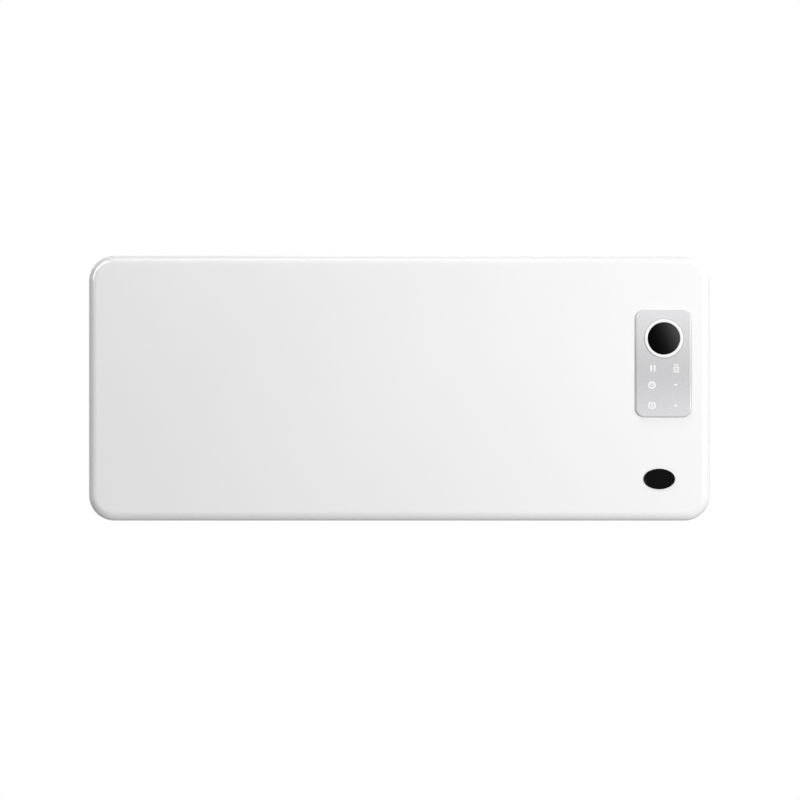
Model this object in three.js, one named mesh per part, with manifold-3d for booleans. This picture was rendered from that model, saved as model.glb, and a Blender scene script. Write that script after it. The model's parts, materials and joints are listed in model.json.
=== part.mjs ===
// A wall-hung panel convector heater on its wall bracket, built piece by piece.
// Units are millimetres and +Z is up. The wall is the plane y = 0 and the room is on its -Y side.
// The origin is the middle of the bracket's back face, level with the middle of the heater.
import * as THREE from "three";
import { mergeVertices } from "three/addons/utils/BufferGeometryUtils.js";
import Module from "manifold-3d";

const wasm = await Module();
wasm.setup();

// ---- Driving dimensions -------------------------------------------------------------------

// Case
const BODY_WIDTH = 870;
const BODY_HEIGHT = 371;
const BODY_CORNER_RADIUS = 36;
const FRONT_EDGE_RADIUS = 11;
const FRONT_DEPTH = 34;
const REAR_DEPTH = 30;
const REAR_EDGE_RADIUS = 4;
const SHEET = 1;
const TRAY_INSET = 14;
const TRAY_CLEARANCE = 2;
const RIM_INSET = 2.5;
const SEAT_GAP = 0.3;
const FLANGE_SCREW_INSET = 140;
const SCREW_DIAMETER = 3.6;
const SCREW_HEAD = 7;
const SCREW_HEAD_HEIGHT = 2;
const SCREW_LENGTH = 9;

// Air grilles
const GRILLE_THICKNESS = 1.6;
const GRILLE_LIP = 2.2;
const WINDOW_WIDTH = 20;
const WINDOW_END_MARGIN = 36;
const SLOT_WIDTH = 6.4;
const SLOT_LENGTH = 26;
const SLOT_BAR = 2.6;
const SLOT_PITCH = 30;
const COLLAR_WALL = 1.2;
const COLLAR_REACH = 2.2;

// Wall bracket
const WALL_GAP = 18;
const BRACKET_SHEET = 2;
const UPRIGHT_SPACING = 420;
const UPRIGHT_WIDTH = 34;
const UPRIGHT_TOP = 150;
const RAIL_HEIGHT = 60;
const RAIL_DEPTH = 12;
const HOOK_HEIGHT_BELOW_MIDDLE = 145;
const HOOK_SHANK = 5;
const HOOK_TIP_HEIGHT = 8;
const HOOK_TIP_DEPTH = 3;
const UPRIGHT_FOOT = 8;
const BRACKET_WINDOW_PLAY = 3;
const LIFT_PLAY = 1;
const LIFT_TRAVEL = 12;
const FIXING_SLOT_WIDTH = 6.5;
const FIXING_SLOT_LENGTH = 16;
const UPPER_FIXING_HEIGHT = 62;
const LOWER_FIXING_DEPTH = 104;

// Sprung catches
const CATCH_EDGE_HEIGHT = 122;
const CATCH_PLAY = 1.5;
const CATCH_TRAVEL = 6;
const CATCH_OVERLAP = 4;
const CATCH_THICKNESS = 12;
const CATCH_BODY_HEIGHT = 30;
const CATCH_NOSE_WIDTH = 20;
const CATCH_TONGUE_WIDTH = 16;
const CATCH_TONGUE_LENGTH = 20;
const CATCH_PIN_DIAMETER = 5;
const CATCH_TONGUE_THICKNESS = 6;
const CATCH_NOSE_TIP = 1;
const CATCH_PIN_HEAD = 9;
const CATCH_PIN_HEAD_THICKNESS = 1.6;
const CATCH_PIN_RISE = 10.5;
const SHELF_WIDTH = 20;
const SHELF_REACH = 15;
const SPRING_LENGTH = 24;
const SPRING_DIAMETER = 8;
const SPRING_WIRE = 1;
const SPRING_TURNS = 5;

// Control pod
const POD_WIDTH = 79;
const POD_HEIGHT = 150.5;
const POD_CORNER_RADIUS = 11;
const POD_THICKNESS = 4;
const POD_EDGE_RADIUS = 2;
const POD_SIDE_MARGIN = 26;
const POD_TOP_MARGIN = 76;
const DISPLAY_RAISE = 35.2;
const RING_DIAMETER = 54.6;
const RING_WALL = 4.6;
const RING_PROUD = 1.6;
const RING_LEDGE = 1.2;
const WINDOW_CROWN = 0.6;
const MODULE_CLEARANCE = 2;
const KEY_COLUMN_OFFSET = 16.6;
const KEY_ROW_DROPS = [6.4, 30, 58.4];
const TOUCH_WINDOW_WIDTH = 60;
const TOUCH_WINDOW_MARGIN = 8;
const TOUCH_SPRING_DIAMETER = 7;
const TOUCH_BOARD_RECESS = 5;
const TOUCH_CORNER = 4;
const HOUSING_DEPTH = 18;
const HOUSING_WALL = 2;
const HOUSING_INSET = 3;
const BADGE_WIDTH = 44.3;
const BADGE_HEIGHT = 28.7;
const BADGE_THICKNESS = 1.4;
const BADGE_SIDE_MARGIN = 71.6;
const BADGE_BASE_MARGIN = 58.5;

// Heating element
const COMPARTMENT_WIDTH = 120;
const ELEMENT_HEIGHT = 52;
const ELEMENT_DEPTH = 36;
const ELEMENT_DROP = 95;
const ELEMENT_END_SPACE = 35;
const ELEMENT_WING = 2.4;
const ELEMENT_HUB = 14;
const RIB_LENGTH = 9;
const RIB_THICKNESS = 1.9;
const RIB_SHARES = [0.5, 0.68, 0.86];
const ROD_DIAMETER = 8;
const ROD_END = 12;
const PIN_DIAMETER = 4;
const PIN_LENGTH = 6;
const BUSH_DIAMETER = 15;
const BUSH_LENGTH = 8;
const BUSH_STEP = 2;
const SUPPORT_SHEET = 1.2;
const SUPPORT_HEIGHT = 34;
const SUPPORT_MARGIN = 5;
const SUPPORT_FOOT = 11;
const SADDLE_WIDTH = 14;
const SADDLE_LUG = 12;
const DEFLECTOR_STAND = 8;
const DEFLECTOR_FOOT = 10;
const DEFLECTOR_RISE = 4;
const DEFLECTOR_END_MARGIN = 4;
const DIVIDER_MARGIN = 6;
const LEAD_HOLE_DIAMETER = 22;
const LEAD_HOLE_STAND = 18;
const LEAD_HOLE_HEIGHT_ABOVE_ELEMENT = 41;

// Electrical parts
const CUTOUT_DIAMETER = 17;
const CUTOUT_LENGTH = 10;
const CUTOUT_HEIGHT_ABOVE_ELEMENT = 61;
const CUTOUT_FLANGE = 26;
const CUTOUT_FLANGE_HEIGHT = 12;
const CUTOUT_FLANGE_THICKNESS = 2;
const CUTOUT_DISTANCE = 110;
const BLADE_WIDTH = 5;
const BLADE_LENGTH = 7;
const BLADE_THICKNESS = 0.8;
const BOARD_WIDTH = 86;
const BOARD_HEIGHT = 132;
const BOARD_THICKNESS = 1.6;
const BOARD_STAND = 8;
const BOARD_DROP = 10;
const CARRIER_BASE = 2;
const POST_RADIUS = 3;
const POST_INSET = 6;
const RELAY = { width: 19, height: 16, depth: 15 };
const RELAY_PLACES = [[-26, -14], [-26, 10]];
const TRANSFORMER = { width: 32, height: 27, depth: 20 };
const TRANSFORMER_PLACE = [18, 36];
const BLOCK_CORNER = 1.2;
const TERMINAL_WIDTH = 40;
const TERMINAL_HEIGHT = 20;
const TERMINAL_DEPTH = 18;
const TERMINAL_SHIFT = 8;
const TERMINAL_GAP = 24;
const TERMINAL_WELL_DIAMETER = 5.2;
const TERMINAL_WELL_DEPTH = 5;
const EARTH_STUD_DIAMETER = 4;
const EARTH_STUD_LENGTH = 10;
const EARTH_NUT_DIAMETER = 8.8;
const EARTH_NUT_HEIGHT = 4;
const EARTH_SHIFT = 20;
const EARTH_GAP = 26;
const SWITCH_WIDTH = 15;
const SWITCH_HEIGHT = 30;
const SWITCH_DROP = 105;
const SWITCH_DEPTH = 20;
const SWITCH_BODY_MARGIN = 1.6;
const SWITCH_BLADE_OFFSET = 7;
const BEZEL_THICKNESS = 1.8;
const ROCKER_MARGIN = 2.2;
const ROCKER_PLAY = 1.1;
const ROCKER_POCKET = 6;
const ROCKER_PIVOT_DEPTH = 1;
const ROCKER_END_RISE = 2.6;
const ROCKER_MIDDLE_RISE = 1.4;
const ROCKER_END_DROP = 1.5;
const ROCKER_HEEL = 4;
const ROCKER_HEEL_HALF_LENGTH = 3;
const ROCKER_TILT = 9;
const GLAND_DIAMETER = 16;
const GLAND_BORE = 9;
const GLAND_FLANGE = 23;
const GLAND_FLANGE_THICKNESS = 3;
const GLAND_NECK = 7;
const GLAND_SHIFT = 14;
const SENSOR_DIAMETER = 5;
const SENSOR_REACH = 6;
const SENSOR_LENGTH = 14;
const SENSOR_SIDE_MARGIN = 30;
const SENSOR_HOLDER_DIAMETER = 9;
const SENSOR_HOLDER_LIP = 2;
const SENSOR_HOLDER_CAP = 1.6;
const SENSOR_HOLDER_NECK = 4;
const LEAD_DIAMETER = 2.6;
const LEAD_STEP_DIAMETERS = 4;
const BLADE_LEAD_RISE = 5;
const BLADE_LEAD_SWEEP = 22;
const LINK_RUN_MARGIN = 50;
const RELAY_LEAD_SHIFT = 7;
const RELAY_LEAD_HEIGHT = 22;
const RELAY_LEAD_SWEEP = 30;
const ELEMENT_LEAD_SWEEP = 26;
const ELEMENT_LEAD_INSET = 20;
const ELEMENT_LEAD_TOP = 36;
const ELEMENT_LEAD_KNEE = 20;
const ELEMENT_LEAD_STAND = 14;
const TERMINAL_LEAD_RISE = 12;
const RIBBON_WIDTH = 18;
const RIBBON_THICKNESS = 1.2;
const RIBBON_BOW = 5;
const RIBBON_BEND = 14;
const RIBBON_SHIFT = 8;
const RIBBON_DROP = 8;
const RIBBON_SLOT_PLAY = 1.5;
const RIBBON_SLOT_HEIGHT = 6;

// How far a cutting tool reaches past what it cuts
const OVERCUT = 1;

// Fineness of round forms: an arc in an outline is cut into twice its count of steps
const CORNER_STEPS = 4;
const SMALL_CORNER_STEPS = 2;
const LEAD_STEPS = 4;
const SPRING_WIRE_STEPS = 3;
const SPRING_TURN_STEPS = 8;
const LINK_RUN_STEPS = 6;
const RIBBON_STEPS = 8;
const POST_STEPS = 8;
const NUT_SIDES = 6;
const EDGE_STEPS = 4;
const ROUND_STEPS = 24;
const SMALL_ROUND_STEPS = 12;
const RING_STEPS = 28;
const BADGE_STEPS = 14;

// ---- Planes and places worked out from them -------------------------------------------------

const halfWidth = BODY_WIDTH / 2;
const halfHeight = BODY_HEIGHT / 2;
const caseBackY = -WALL_GAP;
const innerBackY = caseBackY - SHEET;
const rimBackY = caseBackY - REAR_DEPTH;
const rimFrontY = rimBackY - SHEET;
const returnBackY = rimFrontY - SEAT_GAP;
const returnFrontY = returnBackY - SHEET;
const caseFrontY = returnBackY - FRONT_DEPTH;
const innerFrontY = caseFrontY + SHEET;
const seatY = innerBackY - SEAT_GAP;
const trayHalfWidth = halfWidth - TRAY_INSET;
const trayHalfHeight = halfHeight - TRAY_INSET;
const dividerX = trayHalfWidth - COMPARTMENT_WIDTH;
const elementLeftX = -trayHalfWidth + ELEMENT_END_SPACE;
const elementRightX = dividerX - ELEMENT_END_SPACE + ROD_END;
const elementMiddleX = (elementLeftX + elementRightX) / 2;
const elementY = (innerBackY + innerFrontY) / 2;
const elementZ = -ELEMENT_DROP;
const uprightX = UPRIGHT_SPACING / 2;
const uprightFrontY = caseBackY + SEAT_GAP;
const channelHalfWidth = UPRIGHT_WIDTH / 2 - BRACKET_SHEET;
const hookZ = -HOOK_HEIGHT_BELOW_MIDDLE;
const hookTipBackY = innerBackY - SEAT_GAP;
const catchShankTopZ = CATCH_EDGE_HEIGHT - CATCH_PLAY;
const catchShankBaseZ = catchShankTopZ - HOOK_SHANK;
const springBaseZ = catchShankBaseZ - SPRING_LENGTH;
const podX = halfWidth - POD_SIDE_MARGIN - POD_WIDTH / 2;
const podZ = halfHeight - POD_TOP_MARGIN - POD_HEIGHT / 2;
const displayZ = podZ + DISPLAY_RAISE;
const podBackY = caseFrontY - SEAT_GAP;
const podFrontY = podBackY - POD_THICKNESS;

// ---- Colours ------------------------------------------------------------------------------

function finish(color, roughness, metalness) {
  return () => new THREE.MeshStandardMaterial({ color, roughness, metalness });
}
const whiteEnamel = finish(0xf0f0ee, 0.35, 0);
const greyEnamel = finish(0xd8d9d8, 0.5, 0.1);
const zincSteel = finish(0xb9bcc0, 0.4, 0.9);
const screwSteel = finish(0x9a9da1, 0.35, 0.9);
const bareAluminium = finish(0xc4c6c8, 0.35, 0.9);
const blackSteel = finish(0x55585a, 0.5, 0.7);
const ceramic = finish(0xe9e4d6, 0.6, 0);
const whitePlastic = finish(0xe6e6e4, 0.45, 0);
const greyPlastic = finish(0x8d9092, 0.55, 0);
const blackPlastic = finish(0x1c1d1f, 0.45, 0);
const silverPlastic = finish(0xcfd1d2, 0.4, 0.2);
const glossWhite = finish(0xf8f8f8, 0.1, 0);
const blackGlass = finish(0x0b0b0d, 0.05, 0);
const boardGreen = finish(0x1f6b45, 0.6, 0);
const brass = finish(0xb08d45, 0.35, 0.9);
const redLead = finish(0xa8322c, 0.5, 0);
const blueLead = finish(0x3b62a3, 0.5, 0);
const earthLead = finish(0x7ea33b, 0.5, 0);
const sleeveWhite = finish(0xdedbd2, 0.6, 0);

// ---- Geometry helpers -------------------------------------------------------------------------

const FAR = 2000;

function solidOf(geometry) {
  const bare = geometry.clone();
  bare.deleteAttribute("normal");
  bare.deleteAttribute("uv");
  const merged = mergeVertices(bare, 1e-4);
  const vertProperties = new Float32Array(merged.attributes.position.array);
  const triVerts = new Uint32Array(merged.index.array);
  return new wasm.Manifold(new wasm.Mesh({ numProp: 3, vertProperties, triVerts }));
}

function geometryOf(solid) {
  const mesh = solid.getMesh();
  const geometry = new THREE.BufferGeometry();
  geometry.setAttribute("position", new THREE.BufferAttribute(mesh.vertProperties, 3));
  geometry.setIndex(new THREE.BufferAttribute(mesh.triVerts, 1));
  geometry.computeVertexNormals();
  return geometry;
}

function join(...pieces) {
  return geometryOf(pieces.map(solidOf).reduce((whole, piece) => whole.add(piece)));
}

function cut(body, ...tools) {
  return geometryOf(tools.map(solidOf).reduce((rest, tool) => rest.subtract(tool), solidOf(body)));
}

// A box between two corners, given as a range along each axis in any order.
function block([x0, x1], [y0, y1], [z0, z1]) {
  const size = [Math.abs(x1 - x0), Math.abs(y1 - y0), Math.abs(z1 - z0)];
  return new THREE.BoxGeometry(...size).translate((x0 + x1) / 2, (y0 + y1) / 2, (z0 + z1) / 2);
}

function about(middle, size) {
  return [middle - size / 2, middle + size / 2];
}

// A rounded rectangle in x and z.
function roundedOutline(width, height, radius, x = 0, z = 0) {
  const [left, right] = about(x, width);
  const [base, top] = about(z, height);
  const shape = new THREE.Shape();
  shape.moveTo(left + radius, base);
  shape.absarc(right - radius, base + radius, radius, -Math.PI / 2, 0);
  shape.absarc(right - radius, top - radius, radius, 0, Math.PI / 2);
  shape.absarc(left + radius, top - radius, radius, Math.PI / 2, Math.PI);
  shape.absarc(left + radius, base + radius, radius, Math.PI, 1.5 * Math.PI);
  return shape;
}

function polygon(points) {
  return new THREE.Shape(points.map(([u, v]) => new THREE.Vector2(u, v)));
}

function circle(radius, x = 0, y = 0) {
  return new THREE.Shape().absarc(x, y, radius, 0, 2 * Math.PI);
}

// A plate along Y whose outline is drawn in x and z, with both rims rounded by edge.
function plateAlongY(outline, [y0, y1], edge = 0, curveSegments = CORNER_STEPS) {
  const high = Math.max(y0, y1);
  const low = Math.min(y0, y1);
  const plate = new THREE.ExtrudeGeometry(outline, {
    depth: high - low - 2 * edge,
    curveSegments,
    bevelEnabled: edge > 0,
    bevelThickness: edge,
    bevelSize: edge,
    bevelOffset: -edge,
    bevelSegments: EDGE_STEPS,
  });
  return plate.rotateX(Math.PI / 2).translate(0, high - edge, 0);
}

// A bar along X whose section is drawn in y and z.
function barAlongX(section, [x0, x1], curveSegments = CORNER_STEPS) {
  const bar = new THREE.ExtrudeGeometry(section, { depth: x1 - x0, curveSegments, bevelEnabled: false });
  const turn = new THREE.Matrix4().makeBasis(
    new THREE.Vector3(0, 1, 0),
    new THREE.Vector3(0, 0, 1),
    new THREE.Vector3(1, 0, 0),
  );
  return bar.applyMatrix4(turn).translate(x0, 0, 0);
}

function rodAlong(axis, radius, [low, high], [u, v], steps = SMALL_ROUND_STEPS) {
  const rod = new THREE.CylinderGeometry(radius, radius, high - low, steps);
  const middle = (low + high) / 2;
  if (axis === "x") return rod.rotateZ(Math.PI / 2).translate(middle, u, v);
  if (axis === "y") return rod.translate(u, middle, v);
  return rod.rotateX(Math.PI / 2).translate(u, v, middle);
}

// A turned piece about a line along Y: points are [radius, distance towards the room].
function turnedTowardsRoom(points, x, yBack, z, steps = ROUND_STEPS) {
  const profile = points.map(([radius, reach]) => new THREE.Vector2(radius, -reach)).reverse();
  return new THREE.LatheGeometry(profile, steps).translate(x, yBack, z);
}

// A pressed slab along Y: its face edge is rolled and its open side is cut square.
function rolledSlab(outline, yOpen, yFace, edge) {
  const outward = Math.sign(yOpen - yFace);
  const slab = plateAlongY(outline, [yFace, yOpen + outward * (edge + OVERCUT)], edge);
  return cut(slab, block([-FAR, FAR], [yOpen, yOpen + outward * (edge + 2 * OVERCUT)], [-FAR, FAR]));
}

function frameAlongY(outline, hole, yRange) {
  outline.holes.push(hole);
  return plateAlongY(outline, yRange);
}

function tubeAlong(points, diameter) {
  const curve = new THREE.CatmullRomCurve3(points.map((p) => new THREE.Vector3(...p)));
  const steps = Math.ceil(curve.getLength() / (LEAD_STEP_DIAMETERS * diameter));
  return new THREE.ExtrudeGeometry(circle(diameter / 2), {
    steps,
    curveSegments: LEAD_STEPS,
    bevelEnabled: false,
    extrudePath: curve,
  });
}

// ---- Case ---------------------------------------------------------------------------------

function bodyOutline(inset) {
  return roundedOutline(BODY_WIDTH - 2 * inset, BODY_HEIGHT - 2 * inset, BODY_CORNER_RADIUS - inset);
}

function trayOutline(inset) {
  return bodyOutline(TRAY_INSET + inset);
}

// The four screws that hold the rear tray's rim to the front panel's return flange.
const flangeMiddle = (TRAY_INSET + RIM_INSET) / 2;
const flangeScrews = [-1, 1].flatMap((up) =>
  [-1, 1].map((side) => [side * (halfWidth - FLANGE_SCREW_INSET), up * (halfHeight - flangeMiddle)]),
);

function screwHoles() {
  const radius = SCREW_DIAMETER / 2 + SEAT_GAP;
  return flangeScrews.map((place) =>
    rodAlong("y", radius, [returnFrontY - OVERCUT, rimBackY + OVERCUT], place),
  );
}

const moduleRadius = RING_DIAMETER / 2 - RING_WALL - MODULE_CLEARANCE;

function frontPanel() {
  const skin = rolledSlab(bodyOutline(0), returnBackY, caseFrontY, FRONT_EDGE_RADIUS);
  const innerRadius = FRONT_EDGE_RADIUS - SHEET;
  const hollow = rolledSlab(bodyOutline(SHEET), returnBackY + OVERCUT, innerFrontY, innerRadius);
  const opening = bodyOutline(TRAY_INSET - TRAY_CLEARANCE);
  const flange = frameAlongY(bodyOutline(SHEET / 2), opening, [returnBackY, returnFrontY]);
  const through = [caseFrontY - OVERCUT, innerFrontY + OVERCUT];
  const holeRadius = moduleRadius + MODULE_CLEARANCE;
  const displayHole = rodAlong("y", holeRadius, through, [podX, displayZ], ROUND_STEPS);
  const touchWindow = block(
    about(podX, TOUCH_WINDOW_WIDTH),
    through,
    [podZ - KEY_ROW_DROPS[2] - TOUCH_WINDOW_MARGIN, podZ - KEY_ROW_DROPS[0] + TOUCH_WINDOW_MARGIN],
  );
  return cut(join(cut(skin, hollow), flange), displayHole, touchWindow, ...screwHoles());
}

const windowX = [-trayHalfWidth + WINDOW_END_MARGIN, dividerX - WINDOW_END_MARGIN / 2];
const windowMiddleY = (caseBackY - REAR_EDGE_RADIUS + rimBackY) / 2;
const windowY = about(windowMiddleY, WINDOW_WIDTH);
const sensorX = trayHalfWidth - SENSOR_SIDE_MARGIN;
const sensorY = windowMiddleY;
const glandX = podX - GLAND_SHIFT;
const glandY = windowMiddleY;
const switchY = windowMiddleY;
const switchZ = -SWITCH_DROP;
const bracketWindowWidth = UPRIGHT_WIDTH + 2 * BRACKET_WINDOW_PLAY;
const hookWindowZ = [hookZ - HOOK_SHANK - LIFT_TRAVEL - LIFT_PLAY, hookZ + SEAT_GAP];
const catchWindowZ = [catchShankBaseZ - CATCH_TRAVEL - LIFT_TRAVEL - LIFT_PLAY, CATCH_EDGE_HEIGHT];

function rearTray() {
  const skin = rolledSlab(trayOutline(0), rimFrontY, caseBackY, REAR_EDGE_RADIUS);
  const innerRadius = REAR_EDGE_RADIUS - SHEET;
  const hollow = rolledSlab(trayOutline(SHEET), rimFrontY - OVERCUT, innerBackY, innerRadius);
  const rim = frameAlongY(bodyOutline(RIM_INSET), trayOutline(SHEET / 2), [rimBackY, rimFrontY]);
  const throughBack = [innerBackY - OVERCUT, caseBackY + OVERCUT];
  const airWindows = [-1, 1].map((up) =>
    block(windowX, windowY, [up * (trayHalfHeight - 2 * OVERCUT), up * (trayHalfHeight + OVERCUT)]),
  );
  const bracketWindows = [-1, 1].flatMap((side) =>
    [hookWindowZ, catchWindowZ].map((zRange) =>
      block(about(side * uprightX, bracketWindowWidth), throughBack, zRange),
    ),
  );
  const throughBase = [-trayHalfHeight - OVERCUT, -trayHalfHeight + SHEET + OVERCUT];
  const glandRadius = GLAND_DIAMETER / 2 + SEAT_GAP;
  const glandHole = rodAlong("z", glandRadius, throughBase, [glandX, glandY], ROUND_STEPS);
  const sensorRadius = SENSOR_HOLDER_DIAMETER / 2 + SEAT_GAP;
  const sensorHole = rodAlong("z", sensorRadius, throughBase, [sensorX, sensorY]);
  const switchHole = block(
    [trayHalfWidth - 2 * OVERCUT, trayHalfWidth + OVERCUT],
    about(switchY, SWITCH_WIDTH - 2 * SWITCH_BODY_MARGIN + 2 * SEAT_GAP),
    about(switchZ, SWITCH_HEIGHT - 2 * SWITCH_BODY_MARGIN + 2 * SEAT_GAP),
  );
  const tray = join(cut(skin, hollow), rim);
  return cut(tray, ...airWindows, ...bracketWindows, glandHole, sensorHole, switchHole, ...screwHoles());
}

function flangeScrew([x, z]) {
  const seat = rimBackY + SEAT_GAP;
  const head = rodAlong("y", SCREW_HEAD / 2, [seat, seat + SCREW_HEAD_HEIGHT], [x, z]);
  const shankY = [seat - SCREW_LENGTH, seat + SCREW_HEAD_HEIGHT / 2];
  const shank = rodAlong("y", SCREW_DIAMETER / 2, shankY, [x, z]);
  return join(head, shank);
}

// A slotted strip that lies on the tray's top or bottom wall; up is 1 for the top and -1 for the bottom.
function grille(up) {
  const level = (height) => up * (trayHalfHeight + height);
  const wider = ([low, high], by) => [low - by, high + by];
  const strip = block(
    wider(windowX, GRILLE_LIP),
    wider(windowY, GRILLE_LIP),
    [level(SEAT_GAP), level(SEAT_GAP + GRILLE_THICKNESS)],
  );
  const collarReach = SHEET + COLLAR_REACH;
  const collar = block(
    wider(windowX, -SEAT_GAP),
    wider(windowY, -SEAT_GAP),
    [level(SEAT_GAP + GRILLE_THICKNESS / 2), level(-collarReach)],
  );
  const collarBore = block(
    wider(windowX, -SEAT_GAP - COLLAR_WALL),
    wider(windowY, -SEAT_GAP - COLLAR_WALL),
    [level(SEAT_GAP), level(-collarReach - OVERCUT)],
  );
  const slots = [];
  const columns = Math.floor((windowX[1] - windowX[0] - 2 * COLLAR_WALL) / SLOT_PITCH);
  const firstX = (windowX[0] + windowX[1] - (columns - 1) * SLOT_PITCH) / 2;
  for (let column = 0; column < columns; column++) {
    for (const row of [-1, 1]) {
      const y = windowMiddleY + (row * (SLOT_WIDTH + SLOT_BAR)) / 2;
      const through = [level(-OVERCUT), level(GRILLE_THICKNESS + 2 * OVERCUT)];
      slots.push(block(about(firstX + column * SLOT_PITCH, SLOT_LENGTH), about(y, SLOT_WIDTH), through));
    }
  }
  return cut(join(strip, cut(collar, collarBore)), ...slots);
}

// ---- Wall bracket ---------------------------------------------------------------------------

const uprightBaseZ = hookZ - HOOK_SHANK - UPRIGHT_FOOT;
const catchPinZ = catchShankBaseZ + CATCH_PIN_RISE;

function verticalSlot(x, z, yRange) {
  const radius = 0.499 * FIXING_SLOT_WIDTH;
  const outline = roundedOutline(FIXING_SLOT_WIDTH, FIXING_SLOT_LENGTH, radius, x, z);
  return plateAlongY(outline, yRange, 0, SMALL_CORNER_STEPS);
}

function upright(side) {
  const x = side * uprightX;
  const web = block(about(x, UPRIGHT_WIDTH), [0, -BRACKET_SHEET], [uprightBaseZ, UPRIGHT_TOP]);
  const hookSection = polygon([
    [uprightFrontY + OVERCUT, hookZ - HOOK_SHANK],
    [uprightFrontY + OVERCUT, hookZ],
    [hookTipBackY, hookZ],
    [hookTipBackY, hookZ + HOOK_TIP_HEIGHT],
    [hookTipBackY - HOOK_TIP_DEPTH / 2, hookZ + HOOK_TIP_HEIGHT],
    [hookTipBackY - HOOK_TIP_DEPTH, hookZ + HOOK_TIP_HEIGHT / 2],
    [hookTipBackY - HOOK_TIP_DEPTH, hookZ - HOOK_SHANK],
  ]);
  const wings = [-1, 1].flatMap((wing) => {
    const middle = x + wing * (UPRIGHT_WIDTH / 2 - BRACKET_SHEET / 2);
    return [
      block(about(middle, BRACKET_SHEET), [0, uprightFrontY], [uprightBaseZ, UPRIGHT_TOP]),
      barAlongX(hookSection, about(middle, BRACKET_SHEET)),
    ];
  });
  const shelf = block(
    about(x, SHELF_WIDTH),
    [-BRACKET_SHEET / 2, -SHELF_REACH],
    [springBaseZ - SEAT_GAP - BRACKET_SHEET, springBaseZ - SEAT_GAP],
  );
  const throughWeb = [OVERCUT, -BRACKET_SHEET - OVERCUT];
  const pinRadius = CATCH_PIN_DIAMETER / 2 + SEAT_GAP;
  const pinHole = rodAlong("y", pinRadius, [-BRACKET_SHEET - OVERCUT, OVERCUT], [x, catchPinZ]);
  return cut(
    join(web, ...wings, shelf),
    verticalSlot(x, UPPER_FIXING_HEIGHT, throughWeb),
    verticalSlot(x, -LOWER_FIXING_DEPTH, throughWeb),
    pinHole,
  );
}

function crossRail() {
  const reach = uprightX - UPRIGHT_WIDTH / 2 - SEAT_GAP;
  const section = polygon([
    [0, -RAIL_HEIGHT / 2],
    [0, RAIL_HEIGHT / 2],
    [-RAIL_DEPTH, RAIL_HEIGHT / 2],
    [-RAIL_DEPTH, RAIL_HEIGHT / 2 - BRACKET_SHEET],
    [-BRACKET_SHEET, RAIL_HEIGHT / 2 - BRACKET_SHEET],
    [-BRACKET_SHEET, -RAIL_HEIGHT / 2 + BRACKET_SHEET],
    [-RAIL_DEPTH, -RAIL_HEIGHT / 2 + BRACKET_SHEET],
    [-RAIL_DEPTH, -RAIL_HEIGHT / 2],
  ]);
  return barAlongX(section, [-reach, reach]);
}

// A plastic slider in the upright's channel: its nose holds the case back, its tongue is pressed down.
const catchBackY = -BRACKET_SHEET - SEAT_GAP;
const catchFrontY = catchBackY - CATCH_THICKNESS;
const catchMiddleY = (catchBackY + catchFrontY) / 2;
const catchBodyTopZ = catchShankBaseZ + CATCH_BODY_HEIGHT;

function wallCatch(side) {
  const x = side * uprightX;
  const slider = block(
    about(x, 2 * (channelHalfWidth - SEAT_GAP)),
    [catchBackY, catchFrontY],
    [catchShankBaseZ, catchBodyTopZ],
  );
  const tongue = block(
    about(x, CATCH_TONGUE_WIDTH),
    about(catchMiddleY, CATCH_TONGUE_THICKNESS),
    [catchBodyTopZ - OVERCUT, catchBodyTopZ + CATCH_TONGUE_LENGTH],
  );
  const tipTopZ = CATCH_EDGE_HEIGHT + CATCH_OVERLAP;
  const noseSection = polygon([
    [catchFrontY + OVERCUT, catchShankBaseZ],
    [catchFrontY + OVERCUT, catchShankTopZ],
    [hookTipBackY, catchShankTopZ],
    [hookTipBackY, tipTopZ],
    [hookTipBackY - CATCH_NOSE_TIP, tipTopZ],
    [hookTipBackY - HOOK_TIP_DEPTH, catchShankTopZ],
    [hookTipBackY - HOOK_TIP_DEPTH, catchShankBaseZ],
  ]);
  const nose = barAlongX(noseSection, about(x, CATCH_NOSE_WIDTH));
  const slotWidth = CATCH_PIN_DIAMETER + 2 * SEAT_GAP;
  const slotBase = catchPinZ - slotWidth / 2;
  const pinSlot = block(
    about(x, slotWidth),
    [catchBackY + OVERCUT, catchFrontY - OVERCUT],
    [slotBase, slotBase + slotWidth + CATCH_TRAVEL],
  );
  return cut(join(slider, tongue, nose), pinSlot);
}

function catchPin(side) {
  const x = side * uprightX;
  const headBackY = catchFrontY - SEAT_GAP;
  const headFrontY = headBackY - CATCH_PIN_HEAD_THICKNESS;
  const shank = rodAlong("y", CATCH_PIN_DIAMETER / 2, [headFrontY, -SEAT_GAP], [x, catchPinZ]);
  const head = rodAlong("y", CATCH_PIN_HEAD / 2, [headFrontY, headBackY], [x, catchPinZ]);
  return join(shank, head);
}

function catchSpring(side) {
  const x = side * uprightX;
  const radius = (SPRING_DIAMETER - SPRING_WIRE) / 2;
  const rise = SPRING_LENGTH - 2 * SEAT_GAP - SPRING_WIRE;
  const points = [];
  for (let step = 0; step <= SPRING_TURNS * SPRING_TURN_STEPS; step++) {
    const share = step / (SPRING_TURNS * SPRING_TURN_STEPS);
    const angle = share * SPRING_TURNS * 2 * Math.PI;
    const across = x + radius * Math.cos(angle);
    const out = catchMiddleY + radius * Math.sin(angle);
    points.push(new THREE.Vector3(across, out, springBaseZ + SPRING_WIRE / 2 + share * rise));
  }
  return new THREE.ExtrudeGeometry(circle(SPRING_WIRE / 2), {
    steps: SPRING_TURNS * SPRING_TURN_STEPS,
    curveSegments: SPRING_WIRE_STEPS,
    bevelEnabled: false,
    extrudePath: new THREE.CatmullRomCurve3(points),
  });
}

// ---- Heating element --------------------------------------------------------------------------

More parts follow.
